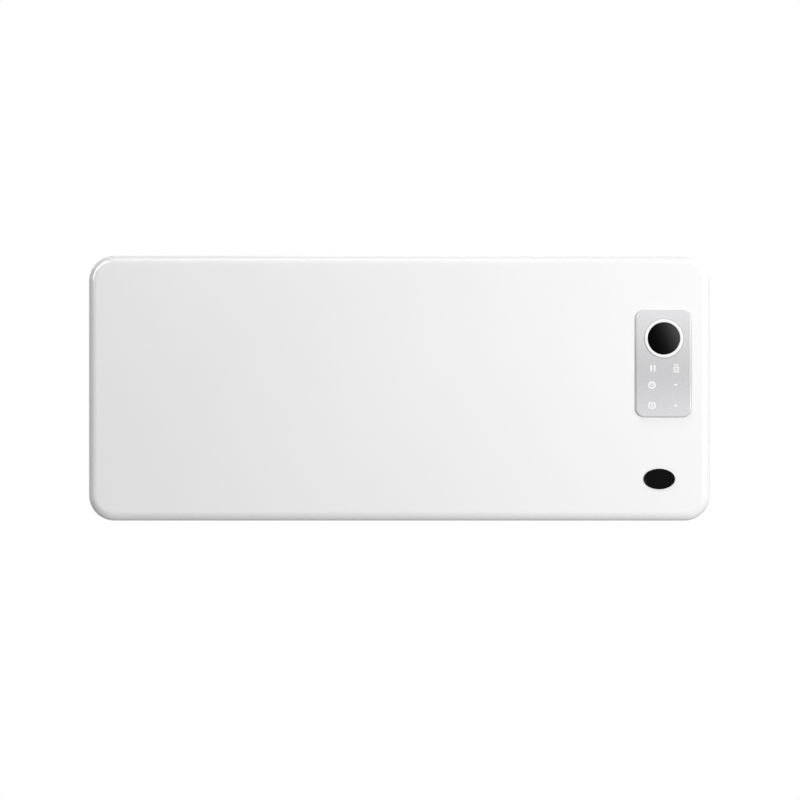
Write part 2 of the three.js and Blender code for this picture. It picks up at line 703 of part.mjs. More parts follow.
// An extruded profile: a bored hub with four ribbed wings that reach the corners of its section.
function heatingElement() {
  const length = [elementLeftX, elementRightX];
  const corner = Math.atan2(ELEMENT_HEIGHT, ELEMENT_DEPTH);
  const reach = Math.hypot(ELEMENT_HEIGHT, ELEMENT_DEPTH) - ELEMENT_WING;
  const pieces = [rodAlong("x", ELEMENT_HUB / 2, length, [0, 0], SMALL_ROUND_STEPS)];
  for (const lean of [corner, -corner]) {
    const wing = block(length, about(0, reach), about(0, ELEMENT_WING));
    pieces.push(wing.rotateX(lean));
    for (const share of RIB_SHARES.flatMap((r) => [r, -r])) {
      const rib = block(length, about((share * reach) / 2, RIB_THICKNESS), about(0, RIB_LENGTH));
      pieces.push(rib.rotateX(lean));
    }
  }
  const boreRadius = ROD_DIAMETER / 2 + SEAT_GAP;
  const bore = rodAlong("x", boreRadius, [length[0] - OVERCUT, length[1] + OVERCUT], [0, 0]);
  return cut(join(...pieces), bore).translate(0, elementY, elementZ);
}

function heatingRod() {
  const ends = [elementLeftX - ROD_END, elementRightX + ROD_END];
  const core = rodAlong("x", ROD_DIAMETER / 2, ends, [elementY, elementZ]);
  const tips = [ends[0] - PIN_LENGTH, ends[1] + PIN_LENGTH];
  const pins = rodAlong("x", PIN_DIAMETER / 2, tips, [elementY, elementZ]);
  return join(core, pins);
}

// side is -1 at the left end of the element and 1 at its right end.
function bushSpan(side) {
  const inner = (side < 0 ? elementLeftX : elementRightX) + side * SEAT_GAP;
  return [inner, inner + side * BUSH_LENGTH];
}

function elementBush(side) {
  const [inner, outer] = bushSpan(side);
  const place = [elementY, elementZ];
  const span = [Math.min(inner, outer), Math.max(inner, outer)];
  const collarEnd = inner + side * BUSH_STEP;
  const collar = [Math.min(inner, collarEnd), Math.max(inner, collarEnd)];
  const ring = join(
    rodAlong("x", BUSH_DIAMETER / 2, span, place, SMALL_ROUND_STEPS),
    rodAlong("x", BUSH_DIAMETER / 2 + BUSH_STEP, collar, place, SMALL_ROUND_STEPS),
  );
  const boreRadius = ROD_DIAMETER / 2 + SEAT_GAP;
  return cut(ring, rodAlong("x", boreRadius, [span[0] - OVERCUT, span[1] + OVERCUT], place));
}

function elementBracket(side) {
  const inner = bushSpan(side)[0] + side * (BUSH_STEP + SEAT_GAP);
  const frontY = elementY - BUSH_DIAMETER / 2 - SUPPORT_MARGIN;
  const zRange = about(elementZ, SUPPORT_HEIGHT);
  const plate = block([inner, inner + side * SUPPORT_SHEET], [seatY, frontY], zRange);
  const foot = block([inner, inner + side * SUPPORT_FOOT], [seatY, seatY - SUPPORT_SHEET], zRange);
  const holeX = about(inner, 4 * SUPPORT_SHEET);
  const hole = rodAlong("x", BUSH_DIAMETER / 2 + SEAT_GAP, holeX, [elementY, elementZ]);
  return cut(join(plate, foot), hole);
}

const deflectorFaceY = seatY - DEFLECTOR_STAND;
const deflectorTopZ = elementZ + ELEMENT_HEIGHT / 2 + DEFLECTOR_RISE;
const deflectorBaseZ = elementZ - ELEMENT_HEIGHT / 2;

// A hat-shaped sheet on the tray's back wall, which keeps the hot element's heat off the wall.
function airDeflector() {
  const low = deflectorBaseZ;
  const high = deflectorTopZ;
  const face = deflectorFaceY;
  const section = polygon([
    [seatY, low - DEFLECTOR_FOOT],
    [seatY - SUPPORT_SHEET, low - DEFLECTOR_FOOT],
    [seatY - SUPPORT_SHEET, low],
    [face - SUPPORT_SHEET, low + DEFLECTOR_STAND / 2],
    [face - SUPPORT_SHEET, high - DEFLECTOR_STAND / 2],
    [seatY - SUPPORT_SHEET, high],
    [seatY - SUPPORT_SHEET, high + DEFLECTOR_FOOT],
    [seatY, high + DEFLECTOR_FOOT],
    [seatY, high - SUPPORT_SHEET],
    [face, high - DEFLECTOR_STAND / 2 - SUPPORT_SHEET],
    [face, low + DEFLECTOR_STAND / 2 + SUPPORT_SHEET],
    [seatY, low + SUPPORT_SHEET],
  ]);
  return barAlongX(section, [elementLeftX + DEFLECTOR_END_MARGIN, elementRightX - DEFLECTOR_END_MARGIN]);
}

// A bent strap under the middle of the element, footed on the deflector's face.
function elementSaddle() {
  const width = about(elementMiddleX, SADDLE_WIDTH);
  const backY = deflectorFaceY - SUPPORT_SHEET - SEAT_GAP;
  const shelfTop = elementZ - ELEMENT_HEIGHT / 2 - SEAT_GAP;
  const shelfBase = shelfTop - SUPPORT_SHEET;
  const shelf = block(width, [backY, elementY - ELEMENT_DEPTH / 2], [shelfBase, shelfTop]);
  const lug = block(width, [backY, backY - SUPPORT_SHEET], [shelfBase, shelfTop + SADDLE_LUG]);
  return join(shelf, lug);
}

const leadHole = { y: seatY - LEAD_HOLE_STAND, z: elementZ + LEAD_HOLE_HEIGHT_ABOVE_ELEMENT };

// A sheet between the hot air space and the compartment of the electrical parts.
function compartmentDivider() {
  const zRange = about(0, 2 * (trayHalfHeight - DIVIDER_MARGIN));
  const sheet = block([dividerX, dividerX + SHEET], [seatY, innerFrontY + SEAT_GAP], zRange);
  const foot = block([dividerX, dividerX + SUPPORT_FOOT], [seatY, seatY - SHEET], zRange);
  const across = [dividerX - OVERCUT, dividerX + SHEET + OVERCUT];
  const hole = rodAlong("x", LEAD_HOLE_DIAMETER / 2, across, [leadHole.y, leadHole.z], SMALL_ROUND_STEPS);
  return cut(join(sheet, foot), hole);
}

// ---- Thermal protection -----------------------------------------------------------------------

const cutoutZ = elementZ + CUTOUT_HEIGHT_ABOVE_ELEMENT;
const cutoutX = dividerX - CUTOUT_DISTANCE;
const fuseX = elementLeftX + CUTOUT_DISTANCE;
const bladeOffset = CUTOUT_DIAMETER / 4;
const bladeTipY = seatY - CUTOUT_FLANGE_THICKNESS - CUTOUT_LENGTH - BLADE_LENGTH;

// A snap-disc switch: flange on the back wall, round body, two blade terminals.
function thermalSwitch(x) {
  const flangeY = [seatY, seatY - CUTOUT_FLANGE_THICKNESS];
  const bodyFrontY = flangeY[1] - CUTOUT_LENGTH;
  const flange = block(about(x, CUTOUT_FLANGE), flangeY, about(cutoutZ, CUTOUT_FLANGE_HEIGHT));
  const body = rodAlong("y", CUTOUT_DIAMETER / 2, [bodyFrontY, flangeY[0]], [x, cutoutZ], ROUND_STEPS);
  const blades = [-1, 1].map((side) =>
    block(
      about(x + side * bladeOffset, BLADE_THICKNESS),
      [bodyFrontY + OVERCUT, bladeTipY],
      about(cutoutZ, BLADE_WIDTH),
    ),
  );
  return join(flange, body, ...blades);
}

// ---- Power electronics --------------------------------------------------------------------------

const boardX = dividerX + COMPARTMENT_WIDTH / 2;
const boardZ = podZ - BOARD_DROP;
const boardBackY = seatY - CARRIER_BASE - BOARD_STAND - SEAT_GAP;
const boardFrontY = boardBackY - BOARD_THICKNESS;
const partSeatY = boardFrontY - SEAT_GAP;

function cornerPlaces(x, z, width, height, inset) {
  return [-1, 1].flatMap((up) =>
    [-1, 1].map((side) => [x + side * (width / 2 - inset), z + up * (height / 2 - inset)]),
  );
}

function boardCarrier() {
  const baseY = [seatY, seatY - CARRIER_BASE];
  const plate = block(about(boardX, BOARD_WIDTH), baseY, about(boardZ, BOARD_HEIGHT));
  const postY = [seatY - CARRIER_BASE - BOARD_STAND, seatY - CARRIER_BASE / 2];
  const posts = cornerPlaces(boardX, boardZ, BOARD_WIDTH, BOARD_HEIGHT, POST_INSET).map((spot) =>
    rodAlong("y", POST_RADIUS, postY, spot, POST_STEPS),
  );
  return join(plate, ...posts);
}

function powerBoard() {
  return block(about(boardX, BOARD_WIDTH), [boardBackY, boardFrontY], about(boardZ, BOARD_HEIGHT));
}

// A block that stands on the power board, shiftX and shiftZ from the board's middle.
function boardBlock({ width, height, depth }, [shiftX, shiftZ]) {
  const outline = roundedOutline(width, height, BLOCK_CORNER, boardX + shiftX, boardZ + shiftZ);
  return plateAlongY(outline, [partSeatY, partSeatY - depth], 0, 1);
}

const terminalX = boardX - TERMINAL_SHIFT;
const terminalTopZ = boardZ - BOARD_HEIGHT / 2 - TERMINAL_GAP;
const terminalBaseZ = terminalTopZ - TERMINAL_HEIGHT;
const terminalMiddleY = seatY - TERMINAL_DEPTH / 2;
const terminalPitch = TERMINAL_WIDTH / 3;
const earthX = terminalX - EARTH_SHIFT;
const earthZ = terminalBaseZ - EARTH_GAP;

function terminalBlock() {
  const frontY = seatY - TERMINAL_DEPTH;
  const z = terminalTopZ - TERMINAL_HEIGHT / 2;
  const body = block(about(terminalX, TERMINAL_WIDTH), [seatY, frontY], [terminalBaseZ, terminalTopZ]);
  const wellY = [frontY - OVERCUT, frontY + TERMINAL_WELL_DEPTH];
  const wells = [-1, 0, 1].map((n) =>
    rodAlong("y", TERMINAL_WELL_DIAMETER / 2, wellY, [terminalX + n * terminalPitch, z], POST_STEPS),
  );
  return cut(body, ...wells);
}

function earthStud() {
  const spot = [earthX, earthZ];
  const stud = rodAlong("y", EARTH_STUD_DIAMETER / 2, [seatY - EARTH_STUD_LENGTH, seatY], spot);
  const nut = rodAlong("y", EARTH_NUT_DIAMETER / 2, [seatY - EARTH_NUT_HEIGHT, seatY], spot, NUT_SIDES);
  return join(stud, nut);
}

// ---- Main switch --------------------------------------------------------------------------------

const rockerPivotX = trayHalfWidth + BEZEL_THICKNESS - ROCKER_PIVOT_DEPTH;
const rockerHalfLength = SWITCH_HEIGHT / 2 - ROCKER_MARGIN - ROCKER_PLAY;
const switchBackX = trayHalfWidth + SEAT_GAP - SWITCH_DEPTH;

function switchBody() {
  const bezelX = [trayHalfWidth + SEAT_GAP, trayHalfWidth + SEAT_GAP + BEZEL_THICKNESS];
  const bezel = block(bezelX, about(switchY, SWITCH_WIDTH), about(switchZ, SWITCH_HEIGHT));
  const innerWidth = SWITCH_WIDTH - 2 * SWITCH_BODY_MARGIN;
  const innerHeight = SWITCH_HEIGHT - 2 * SWITCH_BODY_MARGIN;
  const body = block([switchBackX, bezelX[1]], about(switchY, innerWidth), about(switchZ, innerHeight));
  const blades = [-1, 1].map((up) =>
    block(
      [switchBackX - BLADE_LENGTH, switchBackX + OVERCUT],
      about(switchY, BLADE_WIDTH),
      about(switchZ + up * SWITCH_BLADE_OFFSET, BLADE_THICKNESS),
    ),
  );
  const pocket = block(
    [rockerPivotX - ROCKER_POCKET, bezelX[1] + OVERCUT],
    about(switchY, SWITCH_WIDTH - 2 * ROCKER_MARGIN),
    about(switchZ, SWITCH_HEIGHT - 2 * ROCKER_MARGIN),
  );
  return cut(join(bezel, body, ...blades), pocket);
}

// Drawn in x and z about its pivot with its face outward, then tilted to the off position.
function switchRocker() {
  const half = rockerHalfLength;
  const outline = polygon([
    [-ROCKER_END_DROP, -half],
    [ROCKER_END_RISE, -half],
    [ROCKER_MIDDLE_RISE, 0],
    [ROCKER_END_RISE, half],
    [-ROCKER_END_DROP, half],
    [-ROCKER_HEEL, ROCKER_HEEL_HALF_LENGTH],
    [-ROCKER_HEEL, -ROCKER_HEEL_HALF_LENGTH],
  ]);
  const width = SWITCH_WIDTH - 2 * ROCKER_MARGIN - 2 * SEAT_GAP;
  const rocker = plateAlongY(outline, about(0, width));
  rocker.rotateY(THREE.MathUtils.degToRad(ROCKER_TILT));
  return rocker.translate(rockerPivotX, switchY, switchZ);
}

// ---- Inlets in the bottom wall --------------------------------------------------------------

function cableGland() {
  const spot = [glandX, glandY];
  const seat = -trayHalfHeight - SEAT_GAP;
  const base = seat - GLAND_FLANGE_THICKNESS;
  const top = -trayHalfHeight + SHEET + GLAND_NECK;
  const flange = rodAlong("z", GLAND_FLANGE / 2, [base, seat], spot, ROUND_STEPS);
  const neck = rodAlong("z", GLAND_DIAMETER / 2, [(base + seat) / 2, top], spot, ROUND_STEPS);
  const bore = rodAlong("z", GLAND_BORE / 2, [base - OVERCUT, top + OVERCUT], spot, ROUND_STEPS);
  return cut(join(flange, neck), bore);
}

function sensorHolder() {
  const spot = [sensorX, sensorY];
  const seat = -trayHalfHeight - SEAT_GAP;
  const base = seat - SENSOR_HOLDER_CAP;
  const top = -trayHalfHeight + SHEET + SENSOR_HOLDER_NECK;
  const cap = rodAlong("z", SENSOR_HOLDER_DIAMETER / 2 + SENSOR_HOLDER_LIP, [base, seat], spot);
  const neck = rodAlong("z", SENSOR_HOLDER_DIAMETER / 2, [(base + seat) / 2, top], spot);
  const bore = rodAlong("z", SENSOR_DIAMETER / 2 + SEAT_GAP, [base - OVERCUT, top + OVERCUT], spot);
  return cut(join(cap, neck), bore);
}

function roomSensor() {
  const tip = -trayHalfHeight - SENSOR_REACH;
  return rodAlong("z", SENSOR_DIAMETER / 2, [tip, tip + SENSOR_LENGTH], [sensorX, sensorY]);
}

// ---- Control pod ------------------------------------------------------------------------------

const housingWidth = POD_WIDTH - 2 * HOUSING_INSET;
const housingHeight = POD_HEIGHT - 2 * HOUSING_INSET;
const housingFrontY = innerFrontY + SEAT_GAP;
const housingBackY = housingFrontY + HOUSING_DEPTH;
const touchFrontY = housingFrontY + TOUCH_BOARD_RECESS;
const touchBackY = touchFrontY + BOARD_THICKNESS;
const touchWidth = housingWidth - 2 * HOUSING_WALL - 2 * SEAT_GAP;
const touchHeight = housingHeight - 2 * HOUSING_WALL - 2 * SEAT_GAP;
const ribbonX = boardX - RIBBON_SHIFT;
const ribbonTopZ = podZ - RIBBON_DROP;

// A plate with rounded corners about the middle of the pod.
function podPlate(width, height, radius, yRange) {
  return plateAlongY(roundedOutline(width, height, radius, podX, podZ), yRange, 0, SMALL_CORNER_STEPS);
}

function controlHousing() {
  const outsideRadius = POD_CORNER_RADIUS - HOUSING_INSET;
  const outside = podPlate(housingWidth, housingHeight, outsideRadius, [housingFrontY, housingBackY]);
  const inside = podPlate(
    housingWidth - 2 * HOUSING_WALL,
    housingHeight - 2 * HOUSING_WALL,
    TOUCH_CORNER,
    [housingFrontY - OVERCUT, housingBackY - HOUSING_WALL],
  );
  const postY = [touchBackY + SEAT_GAP, housingBackY - HOUSING_WALL / 2];
  const postInset = HOUSING_WALL + POST_INSET;
  const posts = cornerPlaces(podX, podZ, housingWidth, housingHeight, postInset).map((spot) =>
    rodAlong("y", POST_RADIUS, postY, spot, POST_STEPS),
  );
  const ribbonSlot = block(
    about(ribbonX, RIBBON_WIDTH + 2 * RIBBON_SLOT_PLAY),
    [housingBackY - HOUSING_WALL - OVERCUT, housingBackY + OVERCUT],
    about(ribbonTopZ, RIBBON_SLOT_HEIGHT),
  );
  return cut(join(cut(outside, inside), ...posts), ribbonSlot);
}

function touchBoard() {
  return podPlate(touchWidth, touchHeight, TOUCH_CORNER, [touchFrontY, touchBackY]);
}

function touchSpring(column, drop) {
  const spot = [podX + column * KEY_COLUMN_OFFSET, podZ - drop];
  const reach = [podBackY + SEAT_GAP, touchFrontY - SEAT_GAP];
  return rodAlong("y", TOUCH_SPRING_DIAMETER / 2, reach, spot, POST_STEPS);
}

function displayModule() {
  const reach = [podBackY - RING_LEDGE, touchFrontY - SEAT_GAP];
  return rodAlong("y", moduleRadius - SEAT_GAP, reach, [podX, displayZ], RING_STEPS);
}

function controlPlate() {
  const outline = roundedOutline(POD_WIDTH, POD_HEIGHT, POD_CORNER_RADIUS, podX, podZ);
  const slab = rolledSlab(outline, podBackY, podFrontY, POD_EDGE_RADIUS);
  const through = [podFrontY - OVERCUT, podBackY + OVERCUT];
  return cut(slab, rodAlong("y", RING_DIAMETER / 2 + SEAT_GAP, through, [podX, displayZ], RING_STEPS));
}

function displayRing() {
  const outer = RING_DIAMETER / 2;
  const inner = outer - RING_WALL;
  const front = POD_THICKNESS + RING_PROUD;
  const points = [
    [inner - MODULE_CLEARANCE, 0],
    [outer, 0],
    [outer, front - 1.2],
    [outer - 0.5, front - 0.4],
    [outer - 1.6, front],
    [inner + 1.4, front],
    [inner + 0.3, front - 0.5],
    [inner, front - 1.4],
    [inner, RING_LEDGE],
    [inner - MODULE_CLEARANCE, RING_LEDGE],
  ];
  return turnedTowardsRoom([...points, points[0]], podX, podBackY, displayZ, RING_STEPS);
}

function displayWindow() {
  const radius = RING_DIAMETER / 2 - RING_WALL - SEAT_GAP;
  const back = RING_LEDGE + SEAT_GAP;
  const front = POD_THICKNESS;
  return turnedTowardsRoom(
    [
      [0, back],
      [radius, back],
      [radius, front - 1],
      [radius - 0.8, front - 0.2],
      [0, front + WINDOW_CROWN],
    ],
    podX,
    podBackY,
    displayZ,
    RING_STEPS,
  );
}

function badgePlate() {
  const outline = new THREE.Shape().absellipse(
    halfWidth - BADGE_SIDE_MARGIN,
    -halfHeight + BADGE_BASE_MARGIN,
    BADGE_WIDTH / 2,
    BADGE_HEIGHT / 2,
    0,
    2 * Math.PI,
  );
  return plateAlongY(outline, [podBackY, podBackY - BADGE_THICKNESS], 0, BADGE_STEPS);
}

// ---- Internal leads ---------------------------------------------------------------------------

const pinMiddle = ROD_END + PIN_LENGTH / 2;
const pinTopZ = elementZ + PIN_DIAMETER / 2 + SEAT_GAP;
const bladeLeadY = bladeTipY - SEAT_GAP;
const wallRunY = seatY - LEAD_DIAMETER / 2 - 4;

function relayLead() {
  const startX = boardX - BOARD_WIDTH / 2 + RELAY_LEAD_SHIFT;
  const startZ = boardZ - BOARD_HEIGHT / 2 + RELAY_LEAD_HEIGHT;
  return tubeAlong(
    [
      [startX, partSeatY, startZ],
      [startX, partSeatY - 6, startZ],
      [dividerX + 9, leadHole.y - 2, leadHole.z + 9],
      [dividerX, leadHole.y, leadHole.z + 5],
      [dividerX - 14, leadHole.y, leadHole.z + 6],
      [cutoutX + RELAY_LEAD_SWEEP, bladeLeadY - BLADE_LEAD_RISE, cutoutZ],
      [cutoutX + bladeOffset, bladeLeadY - 6, cutoutZ],
      [cutoutX + bladeOffset, bladeLeadY, cutoutZ],
    ],
    LEAD_DIAMETER,
  );
}

function linkLead() {
  const runZ = cutoutZ + 4;
  const startX = cutoutX - LINK_RUN_MARGIN;
  const endX = fuseX + LINK_RUN_MARGIN;
  const run = [];
  for (let n = 0; n <= LINK_RUN_STEPS; n++) {
    run.push([startX + ((endX - startX) * n) / LINK_RUN_STEPS, wallRunY, runZ]);
  }
  return tubeAlong(
    [
      [cutoutX - bladeOffset, bladeLeadY, cutoutZ],
      [cutoutX - bladeOffset, bladeLeadY - BLADE_LEAD_RISE, cutoutZ],
      [cutoutX - BLADE_LEAD_SWEEP, wallRunY - 7, cutoutZ + 2],
      ...run,
      [fuseX + BLADE_LEAD_SWEEP, wallRunY - 7, cutoutZ + 2],
      [fuseX + bladeOffset, bladeLeadY - BLADE_LEAD_RISE, cutoutZ],
      [fuseX + bladeOffset, bladeLeadY, cutoutZ],
    ],
    LEAD_DIAMETER,
  );
}

function elementLead() {
  const pinX = elementLeftX - pinMiddle;
  return tubeAlong(
    [
      [fuseX - bladeOffset, bladeLeadY, cutoutZ],
      [fuseX - bladeOffset, bladeLeadY - BLADE_LEAD_RISE, cutoutZ],
      [fuseX - ELEMENT_LEAD_SWEEP, wallRunY - 8, cutoutZ],
      [elementLeftX + ELEMENT_LEAD_INSET, wallRunY - 4, cutoutZ - 8],
      [pinX, wallRunY - ELEMENT_LEAD_STAND, elementZ + ELEMENT_LEAD_TOP],
      [pinX, elementY, elementZ + ELEMENT_LEAD_KNEE],
      [pinX, elementY, pinTopZ],
    ],
    LEAD_DIAMETER,
  );
}

function neutralLead() {
  const pinX = elementRightX + pinMiddle;
  const endX = terminalX - terminalPitch;
  return tubeAlong(
    [
      [pinX, elementY, pinTopZ],
      [pinX, elementY, elementZ + 16],
      [dividerX - 6, leadHole.y - 4, leadHole.z - 8],
      [dividerX + 1, leadHole.y, leadHole.z - 5],
      [dividerX + 10, leadHole.y + 4, leadHole.z - 6],
      [endX, terminalMiddleY, terminalTopZ + TERMINAL_LEAD_RISE],
      [endX, terminalMiddleY, terminalTopZ + SEAT_GAP],
    ],
    LEAD_DIAMETER,
  );
}

function switchLead() {
  const startX = terminalX + terminalPitch;
  const bladeX = switchBackX - BLADE_LENGTH - SEAT_GAP;
  return tubeAlong(
    [
      [startX, terminalMiddleY, terminalBaseZ - SEAT_GAP],
      [startX, terminalMiddleY, terminalBaseZ - 8],
      [startX + 6, switchY, switchZ - SWITCH_BLADE_OFFSET],
      [bladeX - 6, switchY, switchZ - SWITCH_BLADE_OFFSET],
      [bladeX, switchY, switchZ - SWITCH_BLADE_OFFSET],
    ],
    LEAD_DIAMETER,
  );
}

function groundLead() {
  return tubeAlong(
    [
      [terminalX - terminalPitch, terminalMiddleY, terminalBaseZ - SEAT_GAP],
      [terminalX - terminalPitch, terminalMiddleY, terminalBaseZ - 9],
      [earthX, seatY - EARTH_STUD_LENGTH - 8, earthZ + 6],
      [earthX, seatY - EARTH_STUD_LENGTH - 6, earthZ],
      [earthX, seatY - EARTH_STUD_LENGTH - SEAT_GAP, earthZ],
    ],
    LEAD_DIAMETER,
  );
}

// A flat cable between the two boards, bent once between them.
function ribbonCable() {
  const start = [touchBackY + SEAT_GAP, ribbonTopZ];
  const end = [partSeatY, ribbonTopZ];
  const curve = new THREE.CubicBezierCurve(
    new THREE.Vector2(start[0], start[1]),
    new THREE.Vector2(start[0] + RIBBON_BEND, start[1]),
    new THREE.Vector2(end[0] - RIBBON_BEND, end[1] - RIBBON_BOW),
    new THREE.Vector2(end[0], end[1] - RIBBON_BOW),
  );
  const centre = curve.getPoints(RIBBON_STEPS);
  const upper = centre.map((p) => [p.x, p.y + RIBBON_THICKNESS / 2]);
  const lower = centre.map((p) => [p.x, p.y - RIBBON_THICKNESS / 2]);
  return barAlongX(polygon([...lower, ...upper.reverse()]), about(ribbonX, RIBBON_WIDTH));
}

// ---- Scene graph ------------------------------------------------------------------------------

const wallBracket = new THREE.Group();
const heater = new THREE.Group();
const part = new THREE.Group();
part.add(wallBracket, heater);

function place(group, name, geometry, material) {
  const mesh = new THREE.Mesh(geometry, material());
  mesh.name = name;
  group.add(mesh);
}

for (const [side, name] of [[-1, "left"], [1, "right"]]) {
  place(wallBracket, "bracket_upright_" + name, upright(side), zincSteel);
  place(wallBracket, "catch_pin_" + name, catchPin(side), screwSteel);
  place(wallBracket, "catch_spring_" + name, catchSpring(side), screwSteel);
  place(part, "catch_" + name, wallCatch(side), blackPlastic);
  place(heater, "element_bush_" + name, elementBush(side), ceramic);
  place(heater, "element_bracket_" + name, elementBracket(side), zincSteel);
}
place(wallBracket, "bracket_cross_rail", crossRail(), zincSteel);

place(heater, "front_panel", frontPanel(), whiteEnamel);
place(heater, "rear_tray", rearTray(), whiteEnamel);
place(heater, "outlet_grille", grille(1), greyEnamel);
place(heater, "inlet_grille", grille(-1), greyEnamel);
flangeScrews.forEach((spot, n) =>
  place(heater, "flange_screw_" + (n + 1), flangeScrew(spot), screwSteel),
);

place(heater, "heating_element", heatingElement(), bareAluminium);
place(heater, "heating_rod", heatingRod(), blackSteel);
place(heater, "element_saddle", elementSaddle(), zincSteel);
place(heater, "air_deflector", airDeflector(), zincSteel);
place(heater, "compartment_divider", compartmentDivider(), zincSteel);
place(heater, "thermal_cutout", thermalSwitch(cutoutX), blackPlastic);
place(heater, "thermal_fuse", thermalSwitch(fuseX), blackPlastic);

place(heater, "board_carrier", boardCarrier(), whitePlastic);
place(heater, "power_board", powerBoard(), boardGreen);
RELAY_PLACES.forEach((shift, n) =>
  place(heater, "relay_" + (n + 1), boardBlock(RELAY, shift), blackPlastic),
);
place(heater, "transformer", boardBlock(TRANSFORMER, TRANSFORMER_PLACE), blackPlastic);
place(heater, "terminal_block", terminalBlock(), whitePlastic);
place(heater, "earth_stud", earthStud(), brass);

place(heater, "switch_body", switchBody(), blackPlastic);
place(part, "switch_rocker", switchRocker(), blackPlastic);
place(heater, "cable_gland", cableGland(), blackPlastic);
place(heater, "sensor_holder", sensorHolder(), whitePlastic);
place(heater, "room_sensor", roomSensor(), blackPlastic);

place(heater, "control_housing", controlHousing(), greyPlastic);
place(heater, "touch_board", touchBoard(), boardGreen);
KEY_ROW_DROPS.forEach((drop, row) => {
  place(heater, "touch_spring_left_" + (row + 1), touchSpring(-1, drop), screwSteel);
  place(heater, "touch_spring_right_" + (row + 1), touchSpring(1, drop), screwSteel);
});
place(heater, "display_module", displayModule(), whitePlastic);
place(heater, "control_plate", controlPlate(), silverPlastic);
place(heater, "display_ring", displayRing(), glossWhite);
place(heater, "display_window", displayWindow(), blackGlass);
place(heater, "badge_plate", badgePlate(), blackGlass);

place(heater, "relay_lead", relayLead(), redLead);
place(heater, "link_lead", linkLead(), sleeveWhite);
place(heater, "element_lead", elementLead(), sleeveWhite);
place(heater, "neutral_lead", neutralLead(), blueLead);
place(heater, "switch_lead", switchLead(), redLead);
place(heater, "ground_lead", groundLead(), earthLead);
place(heater, "ribbon_cable", ribbonCable(), greyPlastic);

export default part;
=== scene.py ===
"""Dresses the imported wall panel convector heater: case, control pod, grilles and wall bracket."""
import json
import math

import bmesh
import bpy
from mathutils import Matrix, Vector


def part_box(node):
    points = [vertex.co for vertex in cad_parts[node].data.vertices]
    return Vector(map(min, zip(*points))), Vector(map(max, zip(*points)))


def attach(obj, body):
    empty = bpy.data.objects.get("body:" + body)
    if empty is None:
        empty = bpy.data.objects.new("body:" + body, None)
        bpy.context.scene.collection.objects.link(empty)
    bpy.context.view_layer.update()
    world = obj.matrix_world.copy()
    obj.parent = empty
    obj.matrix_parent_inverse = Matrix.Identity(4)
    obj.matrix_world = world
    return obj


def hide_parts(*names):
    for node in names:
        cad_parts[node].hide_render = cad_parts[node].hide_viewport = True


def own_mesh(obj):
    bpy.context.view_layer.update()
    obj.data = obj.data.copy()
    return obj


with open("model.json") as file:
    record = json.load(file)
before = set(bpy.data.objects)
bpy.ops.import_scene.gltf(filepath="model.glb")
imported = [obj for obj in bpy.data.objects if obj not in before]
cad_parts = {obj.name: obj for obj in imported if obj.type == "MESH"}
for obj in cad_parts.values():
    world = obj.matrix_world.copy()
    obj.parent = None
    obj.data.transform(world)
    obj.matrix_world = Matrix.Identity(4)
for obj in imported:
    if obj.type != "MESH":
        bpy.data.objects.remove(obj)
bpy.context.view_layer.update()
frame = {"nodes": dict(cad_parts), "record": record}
scene = bpy.context.scene

# ---- Sizes of the forms that the CAD boxes don't give, in metres ----

SHEET = 0.001
CASE_CORNER = 0.036
FRONT_ROLL = 0.0125
RETURN_FLANGE = 0.012
FLANGE_EDGE = 0.0012
REAR_ROLL = 0.004
RIM_INSET = 0.0025
TRAY_STEP = 0.0115
TRAY_HALF_WIDTH = 0.421
TRAY_HALF_HEIGHT = 0.1715
POD_CORNER = 0.0125
POD_ROLL = 0.0024
POD_STEEPNESS = 1.55
RING_WALL = 0.0046
FIT = 0.0003
SAME_PLANE = 1e-6

# ---- Mesh helpers ----


def middle(low, high):
    return (Vector(low) + Vector(high)) / 2


def new_block(low, high):
    """A box between two corners."""
    bm = bmesh.new()
    size = Vector(high) - Vector(low)
    place = Matrix.Translation(middle(low, high)) @ Matrix.Diagonal((*size, 1))
    bmesh.ops.create_cube(bm, size=1, matrix=place)
    return bm


def runs_along(edge, axis):
    along = edge.verts[1].co - edge.verts[0].co
    return abs(along[axis]) > 0.99 * along.length


def round_off(bm, edges, radius, segments):
    bmesh.ops.bevel(
        bm,
        geom=edges,
        offset=radius,
        offset_type="OFFSET",
        segments=segments,
        profile=0.5,
        affect="EDGES",
        material=-1,
    )


def rim_of(bm, axis, level):
    """The outer edges of the flat face that lies across an axis at a level."""
    flat = [f for f in bm.faces if all(abs(v.co[axis] - level) < SAME_PLANE for v in f.verts)]
    return [e for e in bm.edges if sum(f in flat for f in e.link_faces) == 1]


def rounded_block(low, high, corner, segments, axis=1):
    """A box whose four edges along an axis are rounded."""
    bm = new_block(low, high)
    round_off(bm, [e for e in bm.edges if runs_along(e, axis)], corner, segments)
    return bm


def turned(profile, axis, centre, steps):
    """A solid of revolution about a line along an axis: profile is (radius, level) pairs."""
    bm = bmesh.new()
    side = (axis + 1) % 3
    verts = []
    for radius, level in profile:
        place = Vector(centre)
        place[axis] = level
        place[side] += radius
        verts.append(bm.verts.new(place))
    for a, b in zip(verts, verts[1:]):
        bm.edges.new((a, b))
    spin = [0, 0, 0]
    spin[axis] = 1
    bmesh.ops.spin(
        bm,
        geom=bm.verts[:] + bm.edges[:],
        cent=centre,
        axis=spin,
        angle=2 * math.pi,
        steps=steps,
        use_merge=True,
    )
    bmesh.ops.remove_doubles(bm, verts=bm.verts, dist=1e-6)
    bmesh.ops.recalc_face_normals(bm, faces=bm.faces)
    return bm


def plug(axis, centre, radius, levels, steps):
    """A round bar between two levels of an axis, to cut a hole with."""
    start, end = levels
    return turned([(0, start), (radius, start), (radius, end), (0, end)], axis, centre, steps)


